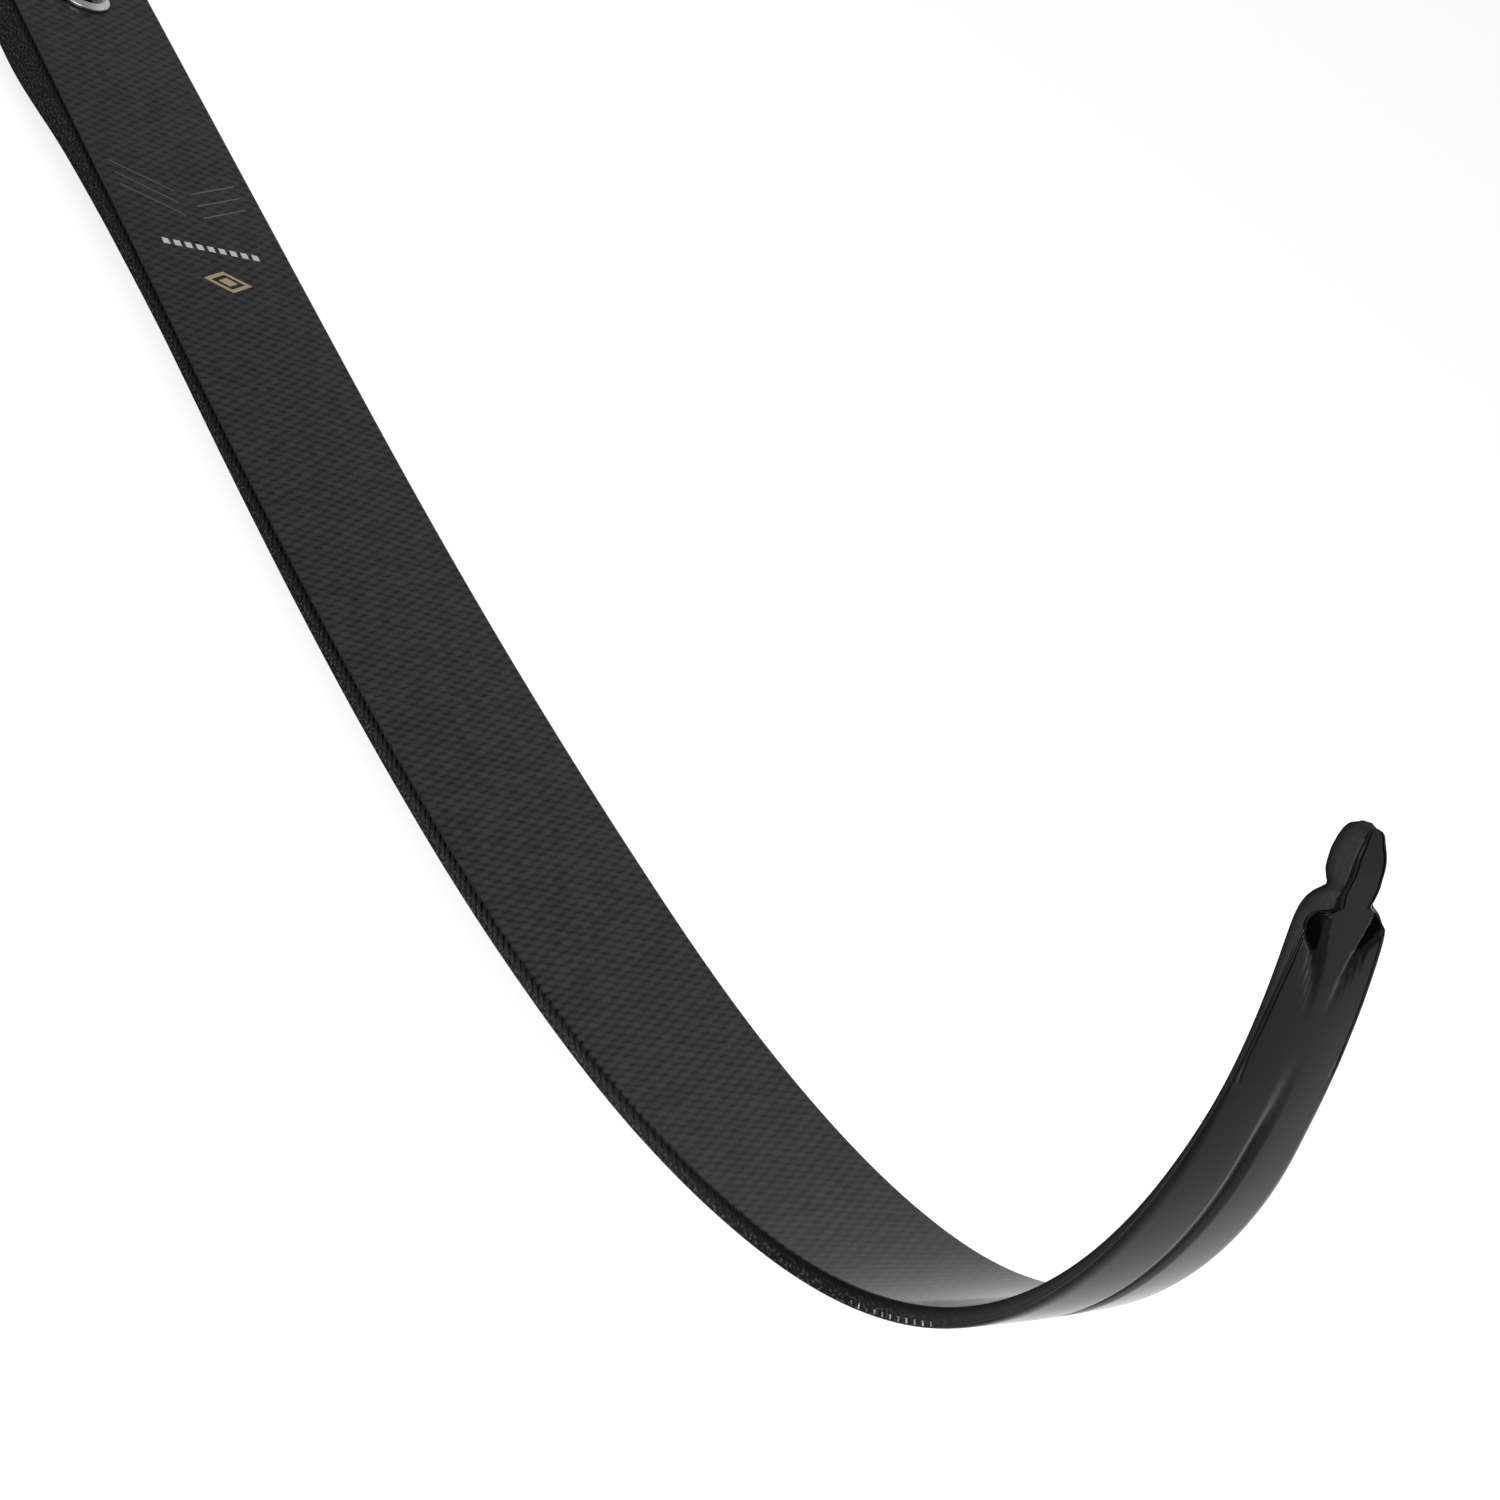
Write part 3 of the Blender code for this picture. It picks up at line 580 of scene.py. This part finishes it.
from_tick = add(folded_cloth, "Math", {0: side_place, 1: TICK_PITCH / 2}, operation="PINGPONG")

# How strong each kind of mark is: the product of its ramps along the blade, down the edge and in the noise
dash_fade = (side_place, DASH_FADE, DASH_LEFT)
amounts = []
for ramps in (((broken, DASH_RANGE, DASH_AMOUNT), dash_fade),
              ((side_depth, CORNER_SHADE_BAND, CORNER_SHADE),),
              ((broken, GAP_RANGE, FALLING), (side_depth, GAP_BAND, GAP_BELOW),
               (side_place, GAP_FADE, GAP_LEFT), dash_fade),
              ((specks, RIM_RANGE, RIM_AMOUNT), (rim_mm.outputs["Y"], RIM_BAND, FALLING),
               (side_place, RIM_FADE, FALLING)),
              ((specks, SPECK_RANGE, SPECK_AMOUNT), (side_depth, SPECK_BAND, RISING),
               (side_place, SPECK_FADE, SPECK_LEFT)),
              ((patches, GLINT_RANGE, RISING),)):
    amount = None
    for value, (start, end), (first, last) in ramps:
        ramp = add(folded_cloth, "MapRange", {
            "Value": value, "From Min": start, "From Max": end, "To Min": first, "To Max": last})
        amount = add(folded_cloth, "Math", {0: amount, 1: ramp}, operation="MULTIPLY") if amount else ramp
    amounts.append(amount)
dash, corner, gap, rim_mark, speck, glint_tick = amounts
# The pale ticks on the belly's rim are painted glints of the tow ends
for value, (middle, reach) in ((from_tick, TICK_WIDTH), (side_place, TICK_PLACE), (side_depth, TICK_DEPTH)):
    inside = add(folded_cloth, "Math", {0: value, 1: middle, 2: reach}, operation="COMPARE")
    glint_tick = add(folded_cloth, "Math", {0: glint_tick, 1: inside}, operation="MULTIPLY")
# The edge's tone along the blade is painted light and shade: dark at the butt, paler in the middle, darker at
# the bend, palest in the recurve and a little darker again at the tip
side = EDGE_LIT_BUTT
for (start, end), tone in ((EDGE_LIGHT_RISING, EDGE_LIT_MIDDLE), (EDGE_SHADE_FALLING, EDGE_LIT_BEND), (EDGE_LIGHT_PEAK, EDGE_LIT_RECURVE),
                           (EDGE_LIGHT_EASING, EDGE_LIT_TIP)):
    along = add(folded_cloth, "MapRange", {"Value": side_place, "From Min": start, "From Max": end})
    side = add(folded_cloth, "Mix", {"Factor": along, "A": side, "B": tone}, data_type="RGBA")
# Marks laid over the edge's tone; the corner band is painted shade just under the arris
for amount, tone in ((dash, EDGE_DARK), (corner, EDGE_DARK), (gap, GAP_BLACK), (rim_mark, GAP_BLACK),
                     (speck, SPECK_PALE), (glint_tick, TICK_GLINT)):
    side = add(folded_cloth, "Mix", {"Factor": amount, "A": side, "B": tone}, data_type="RGBA")
ropes = add(folded_cloth, "Bump", {"Height": dash, "Strength": ROPE_STRENGTH, "Distance": -ROPE_DEPTH})
add(folded_cloth, "OutputMaterial", {"Surface": add(folded_cloth, "BsdfPrincipled", {
    "Base Color": side, "Roughness": EDGE_ROUGHNESS, "Specular IOR Level": EDGE_SPECULAR, "Normal": ropes})})

FITTING_HOLE = 8.8
FLAT_COLUMNS = 3
woven_skin = blade_shell("woven_back_skin", blade_rows(0.0, TONGUE_END), skin_half, 0,
                         FLAT_COLUMNS + CORNER_STEPS // 2, [woven_carbon, folded_cloth])
cut(woven_skin, [slot_mill(), drill(SLOT_CENTRE, SLOT_WIDTH), drill(FITTING_CENTRE, FITTING_HOLE)])
smoothed(woven_skin)
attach(woven_skin, "limb")
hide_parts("woven_skin")

# Belly skin
# A smooth black skin on the belly side, moulded with the narrow groove that guides the string along the
# recurve. It stops under the hard overlay of the tip.
OVERLAY_START = 598.0
GROOVE_START = 505.0
GROOVE_END = 604.0
GROOVE_FADE = 18.0
GROOVE_DEPTH = 0.45
GROOVE_HALF_WIDTH = 2.4
GROOVE_COLUMNS = 14
LOBE_COLUMNS = 6


def string_groove(place, across):
    """Depth of the string groove: it fades in and out along the blade and has rounded walls."""
    share = min(1.0, max(0.0, min(place - GROOVE_START, GROOVE_END - place) / GROOVE_FADE))
    wall = min(1.0, abs(across) / GROOVE_HALF_WIDTH)
    return GROOVE_DEPTH * share * share * (3 - 2 * share) * (1 - wall * wall * (3 - 2 * wall))


# A fine scored line just inside each edge of the belly near the tip, measured in corners from the edge
EDGE_LINE = ((596, 0.0), (606, 0.26), (622, 0.26), (626, 0.35), (634, 0.35), (LENGTH, 0.1))
EDGE_LINE_INSET = 2.3
EDGE_LINE_HALF_WIDTH = 0.55
EDGE_LINE_STEEPNESS = 2
EDGE_INSETS = (3.4, 2.85, 2.58, 2.02, 1.75, 1.2)


def corner_reach(place):
    return edge_scale(place) * eased(CORNER_REACH, place)


def edge_line(place, inset):
    off = abs(inset / corner_reach(place) - EDGE_LINE_INSET) / EDGE_LINE_HALF_WIDTH
    return eased(EDGE_LINE, place) * min(1.0, max(0.0, EDGE_LINE_STEEPNESS * (1 - off)))


def belly_corner(place, level, room):
    """The rounded corner of the belly, wide and soft in the recurve. It follows the crown."""
    height = min(edge_scale(place) * eased(CORNER_HEIGHT, place), room)
    points = rounded_corner(place, level, height, corner_reach(place), -1)
    return [(across, depth + crown(place, across)) for across, depth in points]


def inner_side(place, side_top, top):
    """The rest of a belly section: up the side to the cloth's rim, in along the rim, and to the middle."""
    rim = half_width(place, side_top)
    lip = SKIN_FLANGE * edge_scale(place)
    return [(rim, side_top), (rim - lip, side_top), (rim - lip, top), (0.0, top)]


def belly_half(place):
    bottom = eased(THICKNESS, place)
    outer = half_width(place, bottom)
    cover, side_cover = eased(COVER, place), eased(SIDE_COVER, place)
    edges = [outer - inset * corner_reach(place) for inset in EDGE_INSETS]
    start = GROOVE_HALF_WIDTH + SUPPORT
    columns = [GROOVE_HALF_WIDTH * i / GROOVE_COLUMNS for i in range(GROOVE_COLUMNS + 1)]
    columns += [start + (edges[0] - start) * i / LOBE_COLUMNS for i in range(LOBE_COLUMNS)] + edges
    face = [(across, bottom + crown(place, across)
             - max(string_groove(place, across), edge_line(place, outer - across))) for across in columns]
    return (face + belly_corner(place, bottom, side_cover)
            + inner_side(place, bottom - side_cover, bottom - cover))


# Satin black resin, moulded and rubbed down: smooth and even, with painted shade darkening it down in its
# grooves, where it is also rougher, and it turns pale only at a glancing look
SATIN = linear("#0a0a0a")
SATIN_DEEP = linear("#050505")
HOLLOW_SHADE = linear("#020202")
HOLLOW_SHADE_DEPTH = (0.2, 0.5)
SATIN_ROUGHNESS = 0.14
SATIN_SPECULAR = 0.1
HOLLOW_ROUGHNESS = 0.9
CLOUD = 6 * MM
CLOUD_DETAIL = 3.0
SCUFF = 0.25 * MM
SCUFF_DEPTH = 0.01 * MM
SCUFF_STRENGTH = 0.15
satin_belly = empty_material("satin_belly")
where = add(satin_belly, "TexCoord", {})
clouds = add(satin_belly, "TexNoise", {
    "Vector": where.outputs["Object"], "Scale": 1 / CLOUD, "Detail": CLOUD_DETAIL})
satin = add(satin_belly, "Mix", {
    "Factor": clouds.outputs["Fac"], "A": SATIN_DEEP, "B": SATIN}, data_type="RGBA")
hollow = add(satin_belly, "SeparateXYZ", {0: add(satin_belly, "UVMap", {}, uv_map="hollow_mm")})
hollow_shade = add(satin_belly, "MapRange", {
    "Value": hollow.outputs["X"], "From Min": HOLLOW_SHADE_DEPTH[0], "From Max": HOLLOW_SHADE_DEPTH[1]})
satin = add(satin_belly, "Mix", {"Factor": hollow_shade, "A": satin, "B": HOLLOW_SHADE}, data_type="RGBA")
sheen = add(satin_belly, "MapRange", {
    "Value": hollow_shade, "To Min": SATIN_ROUGHNESS, "To Max": HOLLOW_ROUGHNESS})
scuffs = add(satin_belly, "TexNoise", {"Vector": where.outputs["Object"], "Scale": 1 / SCUFF})
rubbed = add(satin_belly, "Bump", {
    "Height": scuffs.outputs["Fac"], "Strength": SCUFF_STRENGTH, "Distance": SCUFF_DEPTH})
add(satin_belly, "OutputMaterial", {"Surface": add(satin_belly, "BsdfPrincipled", {
    "Base Color": satin, "Roughness": sheen, "Specular IOR Level": SATIN_SPECULAR, "Normal": rubbed})})

FLANGE_HOLE = 17.0
BELLY_COLUMNS = GROOVE_COLUMNS + 1 + LOBE_COLUMNS + len(EDGE_INSETS)
belly_skin = blade_shell("smooth_belly_skin", blade_rows(0.0, OVERLAY_START), belly_half, BELLY_COLUMNS,
                         BELLY_COLUMNS + CORNER_STEPS - 1, [satin_belly, folded_cloth])
cut(belly_skin, [slot_mill(), drill(SLOT_CENTRE, SLOT_WIDTH), drill(FITTING_CENTRE, FLANGE_HOLE)])
smoothed(belly_skin)
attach(belly_skin, "limb")
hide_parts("belly_skin")

# Nock overlay
# A hard black laminate glued into the belly of the tip and shaped by hand: two grooves for the string's
# loop run out from the string groove to the notches, and a ridge between them becomes the tongue.
LOOP_APEX = 604.8
LOOP_SPREAD = 0.365
LOOP_HALF_WIDTH = ((609, 0.7), (614, 1.1), (SHOULDER, 1.5), (622, 1.7))
LOOP_OUTSIDE = ((609, 0.7), (614, 1.1), (617.5, 1.5), (620.5, 3.4))
LOOP_DEPTH = ((609, 0.0), (613, 0.28), (616, 0.45), (619, 0.62), (622, 0.95), (624, 1.1), (LENGTH, 1.1))
RIDGE_HEIGHT = ((608, 0.0), (620, 0.22), (630, 0.22), (LENGTH, 0.0))
LOOP_SQUARENESS = 4
OVERLAY_COLUMNS = 34
END_GAP = 0.05
NOTCH_ROOM = 0.8


def off_loop(place, across):
    """How far a point of the overlay is outside the middle of its loop groove."""
    return abs(across) - LOOP_SPREAD * (place - LOOP_APEX)


def loop_groove(place, across):
    """Depth of a loop groove. Near the notch it widens outwards and runs out through the side."""
    off = off_loop(place, across)
    reach = eased(LOOP_OUTSIDE if off > 0 else LOOP_HALF_WIDTH, place)
    return eased(LOOP_DEPTH, place) * max(0.0, 1 - (off / reach) ** LOOP_SQUARENESS)


def overlay_face(place, across):
    """Depth of the overlay's outer face: the string groove's end, the loop grooves, the ridge, the edges."""
    inward = -off_loop(place, across) / eased(LOOP_HALF_WIDTH, place)
    ridge = eased(RIDGE_HEIGHT, place) * min(1.0, max(0.0, inward))
    belly = eased(THICKNESS, place)
    edge = edge_line(place, half_width(place, belly) - across)
    sunk = max(string_groove(place, across), loop_groove(place, across), edge)
    return belly + crown(place, across) + ridge - sunk


def overlay_half(place):
    """One section of the overlay. Past the blade's glued end it reaches up to the back skin and closes it."""
    bottom = eased(THICKNESS, place)
    cover, side_cover = eased(COVER, place), eased(SIDE_COVER, place)
    if place > LENGTH + END_GAP:
        cover = side_cover = bottom - skin_inside(place) - GLUE
    outer = half_width(place, bottom)
    notched = loop_groove(place, outer)
    insets = [inset * corner_reach(place) for inset in EDGE_INSETS]
    inner = outer - insets[0]
    columns = [inner * i / OVERLAY_COLUMNS for i in range(OVERLAY_COLUMNS)]
    columns += [outer - inset for inset in insets]
    face = [(across, overlay_face(place, across)) for across in columns]
    corner = belly_corner(place, bottom - notched, NOTCH_ROOM * (side_cover - notched))
    return face + corner + inner_side(place, bottom - side_cover, bottom - cover)


# Painted shade for the deepest hollows of the loop grooves: dead black with a fine mottle, no shine
MOTTLE = 0.3 * MM
RECESS_SHADE_BLACK = linear("#020202")
RECESS_SHADE_PALE = linear("#080808")
RECESS_ROUGHNESS = 0.9
painted_recess_shade = empty_material("painted_recess_shade")
where = add(painted_recess_shade, "TexCoord", {})
mottle = add(painted_recess_shade, "TexNoise", {"Vector": where.outputs["Object"], "Scale": 1 / MOTTLE})
recess_shade = add(painted_recess_shade, "Mix", {
    "Factor": mottle.outputs["Fac"], "A": RECESS_SHADE_BLACK, "B": RECESS_SHADE_PALE}, data_type="RGBA")
add(painted_recess_shade, "OutputMaterial", {"Surface": add(painted_recess_shade, "BsdfPrincipled", {
    "Base Color": recess_shade, "Roughness": RECESS_ROUGHNESS, "Specular IOR Level": 0.0})})

FACE_COLUMNS = OVERLAY_COLUMNS + len(EDGE_INSETS)
overlay = blade_shell("nock_overlay_shaped", blade_rows(OVERLAY_START, TONGUE_END), overlay_half,
                      FACE_COLUMNS, FACE_COLUMNS + CORNER_STEPS - 1,
                      [satin_belly, folded_cloth, painted_recess_shade])
smoothed(overlay)
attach(overlay, "limb")
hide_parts("nock_overlay")

# Dovetail bushing
# Turned from stainless bar: a shank up into the butt, a flange let into the belly skin, a neck and a
# dovetail head that slides into the riser. It is bored from below for the sprung pin.
FITTING_X = FITTING_CENTRE - SEAT_CENTRE
TURNED_EDGE = 0.12
EDGE_SEGMENTS = 2
SHARP_ABOVE = math.radians(25)
ON_AXIS = 1e-9


def turned(name, profile, material):
    """A turned piece: a closed profile of diameters and heights spun round the fitting's axis, its edges
    broken."""
    bm = bmesh.new()
    axis = Vector((FITTING_X, 0.0, 0.0)) * MM
    points = [bm.verts.new(axis + Vector((diameter / 2, 0.0, height)) * MM) for diameter, height in profile]
    lines = [bm.edges.new(pair) for pair in zip(points, points[1:] + points[:1])
             if max(point.co.x for point in pair) - axis.x > ON_AXIS]
    bmesh.ops.spin(bm, geom=points + lines, cent=axis, axis=(0, 0, 1), angle=math.tau, steps=ROUND_STEPS,
                   use_merge=True, use_duplicate=False)
    bmesh.ops.remove_doubles(bm, verts=bm.verts, dist=MERGE)
    bmesh.ops.recalc_face_normals(bm, faces=bm.faces)
    sharp = [e for e in bm.edges if e.is_manifold and e.calc_face_angle() > SHARP_ABOVE]
    bmesh.ops.bevel(bm, geom=sharp, offset=TURNED_EDGE * MM, offset_type="OFFSET", segments=EDGE_SEGMENTS,
                    profile=0.5, affect="EDGES", material=-1, clamp_overlap=True)
    piece = made(name, bm, [material])
    smoothed(piece)
    return piece


# Stainless steel, turned: bright grey with fine rings from the lathe tool, drawn coarser so that they show
STEEL = linear("#b9bcc0")
STEEL_DULL = linear("#94979b")
STEEL_ROUGHNESS = 0.28
RING_PITCH = 0.25 * MM
WAVES_PER_UNIT = 20
RING_WANDER = 0.6
RING_DEPTH = 0.01 * MM
RING_STRENGTH = 0.2
SMUDGE = 3 * MM
SMUDGE_DETAIL = 3.0
turned_steel = empty_material("turned_steel")
where = add(turned_steel, "TexCoord", {})
centred = add(turned_steel, "Mapping", {
    "Vector": where.outputs["Object"], "Location": (-FITTING_X * MM, 0.0, 0.0)})
lathe = add(turned_steel, "TexWave", {
    "Vector": centred, "Scale": 1 / RING_PITCH / WAVES_PER_UNIT, "Distortion": RING_WANDER},
    wave_type="RINGS", rings_direction="SPHERICAL")
smudges = add(turned_steel, "TexNoise", {
    "Vector": where.outputs["Object"], "Scale": 1 / SMUDGE, "Detail": SMUDGE_DETAIL})
bright = add(turned_steel, "Mix", {
    "Factor": smudges.outputs["Fac"], "A": STEEL_DULL, "B": STEEL}, data_type="RGBA")
rings = add(turned_steel, "Bump", {
    "Height": lathe.outputs["Fac"], "Strength": RING_STRENGTH, "Distance": RING_DEPTH})
add(turned_steel, "OutputMaterial", {"Surface": add(turned_steel, "BsdfPrincipled", {
    "Base Color": bright, "Metallic": 1.0, "Roughness": STEEL_ROUGHNESS, "Normal": rings})})

SHANK = 8.0
SHANK_HIGH = 9.4
TAPPED = 5.2
TAPPED_LOW = 3.4
FLANGE = 16.0
FLANGE_HIGH = 0.7
FLANGE_LOW = -1.6
NECK = 9.6
NECK_LOW = -4.6
HEAD = 13.4
HEAD_RIM = -6.5
HEAD_LOW = -8.0
MOUTH = 8.8
MOUTH_HIGH = -6.4
BORE = 6.8
BORE_HIGH = 1.6
bushing = turned("turned_bushing", (
    (BORE, BORE_HIGH), (BORE, MOUTH_HIGH), (MOUTH, MOUTH_HIGH), (MOUTH, HEAD_LOW), (HEAD, HEAD_LOW),
    (HEAD, HEAD_RIM), (NECK, NECK_LOW), (NECK, FLANGE_LOW), (FLANGE, FLANGE_LOW), (FLANGE, FLANGE_HIGH),
    (SHANK, FLANGE_HIGH), (SHANK, SHANK_HIGH), (TAPPED, SHANK_HIGH), (TAPPED, TAPPED_LOW), (0, TAPPED_LOW),
    (0, BORE_HIGH)), turned_steel)
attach(bushing, "limb")
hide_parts("dovetail_bushing")

# Retainer ring
# A flat ring of stainless steel, turned and pressed into the mouth of the dovetail head. It keeps the pin
# and its spring in the bore.
RING_HOLE = 4.9
RING_OUTSIDE = 8.4
RING_HIGH = -6.7
ring = turned("pressed_ring", ((RING_HOLE, HEAD_LOW), (RING_OUTSIDE, HEAD_LOW), (RING_OUTSIDE, RING_HIGH),
                               (RING_HOLE, RING_HIGH)), turned_steel)
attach(ring, "limb")
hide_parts("retainer_ring")

# Detent pin
# A pin of stainless steel, turned and polished, that clicks into the riser's dovetail. Its domed nose comes
# out through the ring, its collar is behind the ring, and its stem is inside the spring.
PIN = 4.4
PIN_NOSE = -10.5
PIN_DOME = 0.8
DOME_STEPS = 6
COLLAR = 6.2
COLLAR_LOW = -6.2
COLLAR_HIGH = -5.3
STEM = 2.4
STEM_HIGH = -3.3
swings = [math.pi / 2 * i / DOME_STEPS for i in range(DOME_STEPS + 1)]
dome = [(PIN * math.sin(swing), PIN_NOSE + PIN_DOME * (1 - math.cos(swing))) for swing in swings]
pin = turned("polished_pin", (*dome, (PIN, COLLAR_LOW), (COLLAR, COLLAR_LOW), (COLLAR, COLLAR_HIGH),
                              (STEM, COLLAR_HIGH), (STEM, STEM_HIGH), (0, STEM_HIGH)), turned_steel)
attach(pin, "detent")
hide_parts("detent_pin")

# Detent spring
# Drawn spring wire wound into four open turns between the pin's collar and the end of the bore. It stays
# on the limb.
WIRE = 0.5
WIRE_FACETS = 3
COIL = 4.6
COIL_TURNS = 4
COIL_STEPS = 24
SPRING_LOW = -5.15
SPRING_HIGH = 1.45
curve = bpy.data.curves.new("wound_spring", "CURVE")
curve.dimensions = "3D"
curve.bevel_depth = WIRE / 2 * MM
curve.bevel_resolution = WIRE_FACETS
curve.use_fill_caps = True
wire = curve.splines.new("POLY")
wire.points.add(COIL_TURNS * COIL_STEPS)
for i, knot in enumerate(wire.points):
    angle = math.tau * i / COIL_STEPS
    rise = (SPRING_HIGH - SPRING_LOW - WIRE) * i / (COIL_TURNS * COIL_STEPS)
    knot.co = (*(Vector((FITTING_X + COIL / 2 * math.cos(angle), COIL / 2 * math.sin(angle),
                         SPRING_LOW + WIRE / 2 + rise)) * MM), 1.0)
drawn = bpy.data.objects.new("drawn_wire", curve)
bpy.context.scene.collection.objects.link(drawn)
coil_mesh = bpy.data.meshes.new_from_object(drawn.evaluated_get(bpy.context.evaluated_depsgraph_get()))
bpy.data.objects.remove(drawn)
spring = bpy.data.objects.new("wound_spring", coil_mesh)
bpy.context.scene.collection.objects.link(spring)
coil_mesh.materials.clear()
coil_mesh.materials.append(turned_steel)
smoothed(spring)
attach(spring, "limb")
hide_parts("detent_spring")
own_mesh(spring)

# Cup washer
# A dished washer of stainless steel, turned. It lies on the back of the butt under the screw and spreads the
# screw's pull.
WASHER = 15.0
WASHER_HOLE = 5.4
WASHER_LOW = 12.6
WASHER_DISH = 13.0
WASHER_RIM = 13.5
LIP_OUTSIDE = 12.2
LIP_INSIDE = 11.0
LIP_HIGH = 14.4
washer = turned("dished_washer", (
    (WASHER_HOLE, WASHER_LOW), (WASHER, WASHER_LOW), (WASHER, WASHER_RIM), (LIP_OUTSIDE, LIP_HIGH),
    (LIP_INSIDE, LIP_HIGH), (WASHER_HOLE, WASHER_DISH)), turned_steel)
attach(washer, "limb")
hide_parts("cup_washer")

# Fitting screw
# A countersunk steel screw with a hexagon socket, blackened. It goes from the back of the butt through the
# cup washer into the bushing and holds the fitting.

# Black oxide on steel: dark grey metal with a dull, slightly blotchy shine
OXIDE = linear("#3a3b3e")
OXIDE_DARK = linear("#28292b")
OXIDE_ROUGHNESS = 0.42
BLOTCH = 1.5 * MM
BLOTCH_DETAIL = 4.0
black_oxide = empty_material("black_oxide")
where = add(black_oxide, "TexCoord", {})
blotches = add(black_oxide, "TexNoise", {
    "Vector": where.outputs["Object"], "Scale": 1 / BLOTCH, "Detail": BLOTCH_DETAIL})
oxide = add(black_oxide, "Mix", {
    "Factor": blotches.outputs["Fac"], "A": OXIDE_DARK, "B": OXIDE}, data_type="RGBA")
add(black_oxide, "OutputMaterial", {"Surface": add(black_oxide, "BsdfPrincipled", {
    "Base Color": oxide, "Metallic": 1.0, "Roughness": OXIDE_ROUGHNESS})})

SCREW = 4.8
SCREW_END = 4.0
SCREW_HEAD = 10.0
SCREW_NECK = 13.5
SCREW_RIM = 14.8
SCREW_TOP = 15.2
SOCKET = 3.5
SOCKET_DEPTH = 1.5
SOCKET_SIDES = 6
screw = turned("socket_screw", (
    (0, SCREW_END), (SCREW, SCREW_END), (SCREW, SCREW_NECK), (SCREW_HEAD, SCREW_RIM), (SCREW_HEAD, SCREW_TOP),
    (0, SCREW_TOP)), black_oxide)
hexagon = bmesh.new()
bmesh.ops.create_cone(hexagon, cap_ends=True, segments=SOCKET_SIDES, radius1=SOCKET / 2 * MM,
                      radius2=SOCKET / 2 * MM, depth=2 * SOCKET_DEPTH * MM)
bmesh.ops.translate(hexagon, verts=hexagon.verts, vec=Vector((FITTING_X, 0.0, SCREW_TOP)) * MM)
cut(screw, [hexagon])
smoothed(screw)
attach(screw, "limb")
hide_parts("fitting_screw")

# Studio
# A white floor just under the limb, soft white light from all round and one broad lamp above, and the
# camera at the photograph's place.
SENSOR = 36.0
LENS = 59.72
NEAREST = 0.01
CAMERA_PLACE = Vector((0.6178, -0.285, 0.3037))
CAMERA_BACK = Vector((0.555, -0.649, 0.5204))
CAMERA_UP = Vector((-0.7125, -0.0481, 0.7))
camera = bpy.data.cameras.new("photo_view")
camera.sensor_width = SENSOR
camera.lens = LENS
camera.clip_start = NEAREST
toward = CAMERA_BACK.normalized()
right = CAMERA_UP.cross(toward).normalized()
turn = Matrix((right, toward.cross(right), toward)).transposed()
photo_view = bpy.data.objects.new("photo_view", camera)
photo_view.matrix_world = Matrix.Translation(CAMERA_PLACE) @ turn.to_4x4()
bpy.context.scene.collection.objects.link(photo_view)
bpy.context.scene.camera = photo_view

# Matt white paper: it takes a soft shadow, and eyes and mirrors see it as white
PAPER = linear("#c8c8c8")
PAPER_GLOW = 0.74


def seeing_rays(material):
    """The camera's rays, and all rays that see the background: the camera's, mirrors' and glass's."""
    path = add(material, "LightPath", {})
    seeing = path.outputs["Is Camera Ray"]
    for kind in ("Is Glossy Ray", "Is Transmission Ray"):
        seeing = add(material, "Math", {0: seeing, 1: path.outputs[kind]}, operation="MAXIMUM")
    return path.outputs["Is Camera Ray"], seeing


paper = empty_material("white_paper")
camera_rays, seeing = seeing_rays(paper)
glow = add(paper, "Math", {0: seeing, 1: PAPER_GLOW}, operation="MULTIPLY")
add(paper, "OutputMaterial", {"Surface": add(paper, "AddShader", {
    0: add(paper, "BsdfDiffuse", {"Color": PAPER}), 1: add(paper, "Emission", {"Strength": glow})})})

FLOOR_HALF = 4.0
FLOOR_GAP = 0.0005
bm = bmesh.new()
bmesh.ops.create_grid(bm, x_segments=1, y_segments=1, size=FLOOR_HALF)
bmesh.ops.translate(bm, verts=bm.verts, vec=(0.0, 0.0, cad_box[0].z - FLOOR_GAP))
floor = made("white_floor", bm, [paper])

# White room: its light is even and dim, the camera sees it white, and mirrors see white on the far side and
# grey elsewhere
WHITE = linear("#ffffff")
SKY_LEVEL = 0.35
WALL_GREY = 0.55
WALL_TURN = (0.42, 0.6)
world = bpy.data.worlds.new("white_room")
world.use_nodes = True
world.node_tree.nodes.clear()
camera_rays, seeing = seeing_rays(world)
around = add(world, "SeparateXYZ", {0: add(world, "TexCoord", {}).outputs["Generated"]})
wall = add(world, "MapRange", {
    "Value": around.outputs["Y"], "From Min": WALL_TURN[0], "From Max": WALL_TURN[1],
    "To Min": WALL_GREY, "To Max": 1.0})
wall = add(world, "Math", {0: wall, 1: camera_rays}, operation="MAXIMUM")
level = add(world, "MapRange", {"Value": seeing, "To Min": SKY_LEVEL, "To Max": wall})
add(world, "OutputWorld", {"Surface": add(world, "Background", {"Color": WHITE, "Strength": level})})
bpy.context.scene.world = world

LAMP_SIZE = 0.6
LAMP_WATTS = 6.5
LAMP_PLACE = Vector((0.75, -0.45, 0.47))
LAMP_AIM = Vector((0.35, 0.0, 0.03))
lamp = bpy.data.lights.new("broad_lamp", "AREA")
lamp.size = LAMP_SIZE
lamp.energy = LAMP_WATTS
broad_lamp = bpy.data.objects.new("broad_lamp", lamp)
broad_lamp.matrix_world = (Matrix.Translation(LAMP_PLACE)
                           @ (LAMP_AIM - LAMP_PLACE).to_track_quat("-Z", "Y").to_matrix().to_4x4())
bpy.context.scene.collection.objects.link(broad_lamp)

bpy.context.scene.view_settings.view_transform = "Standard"
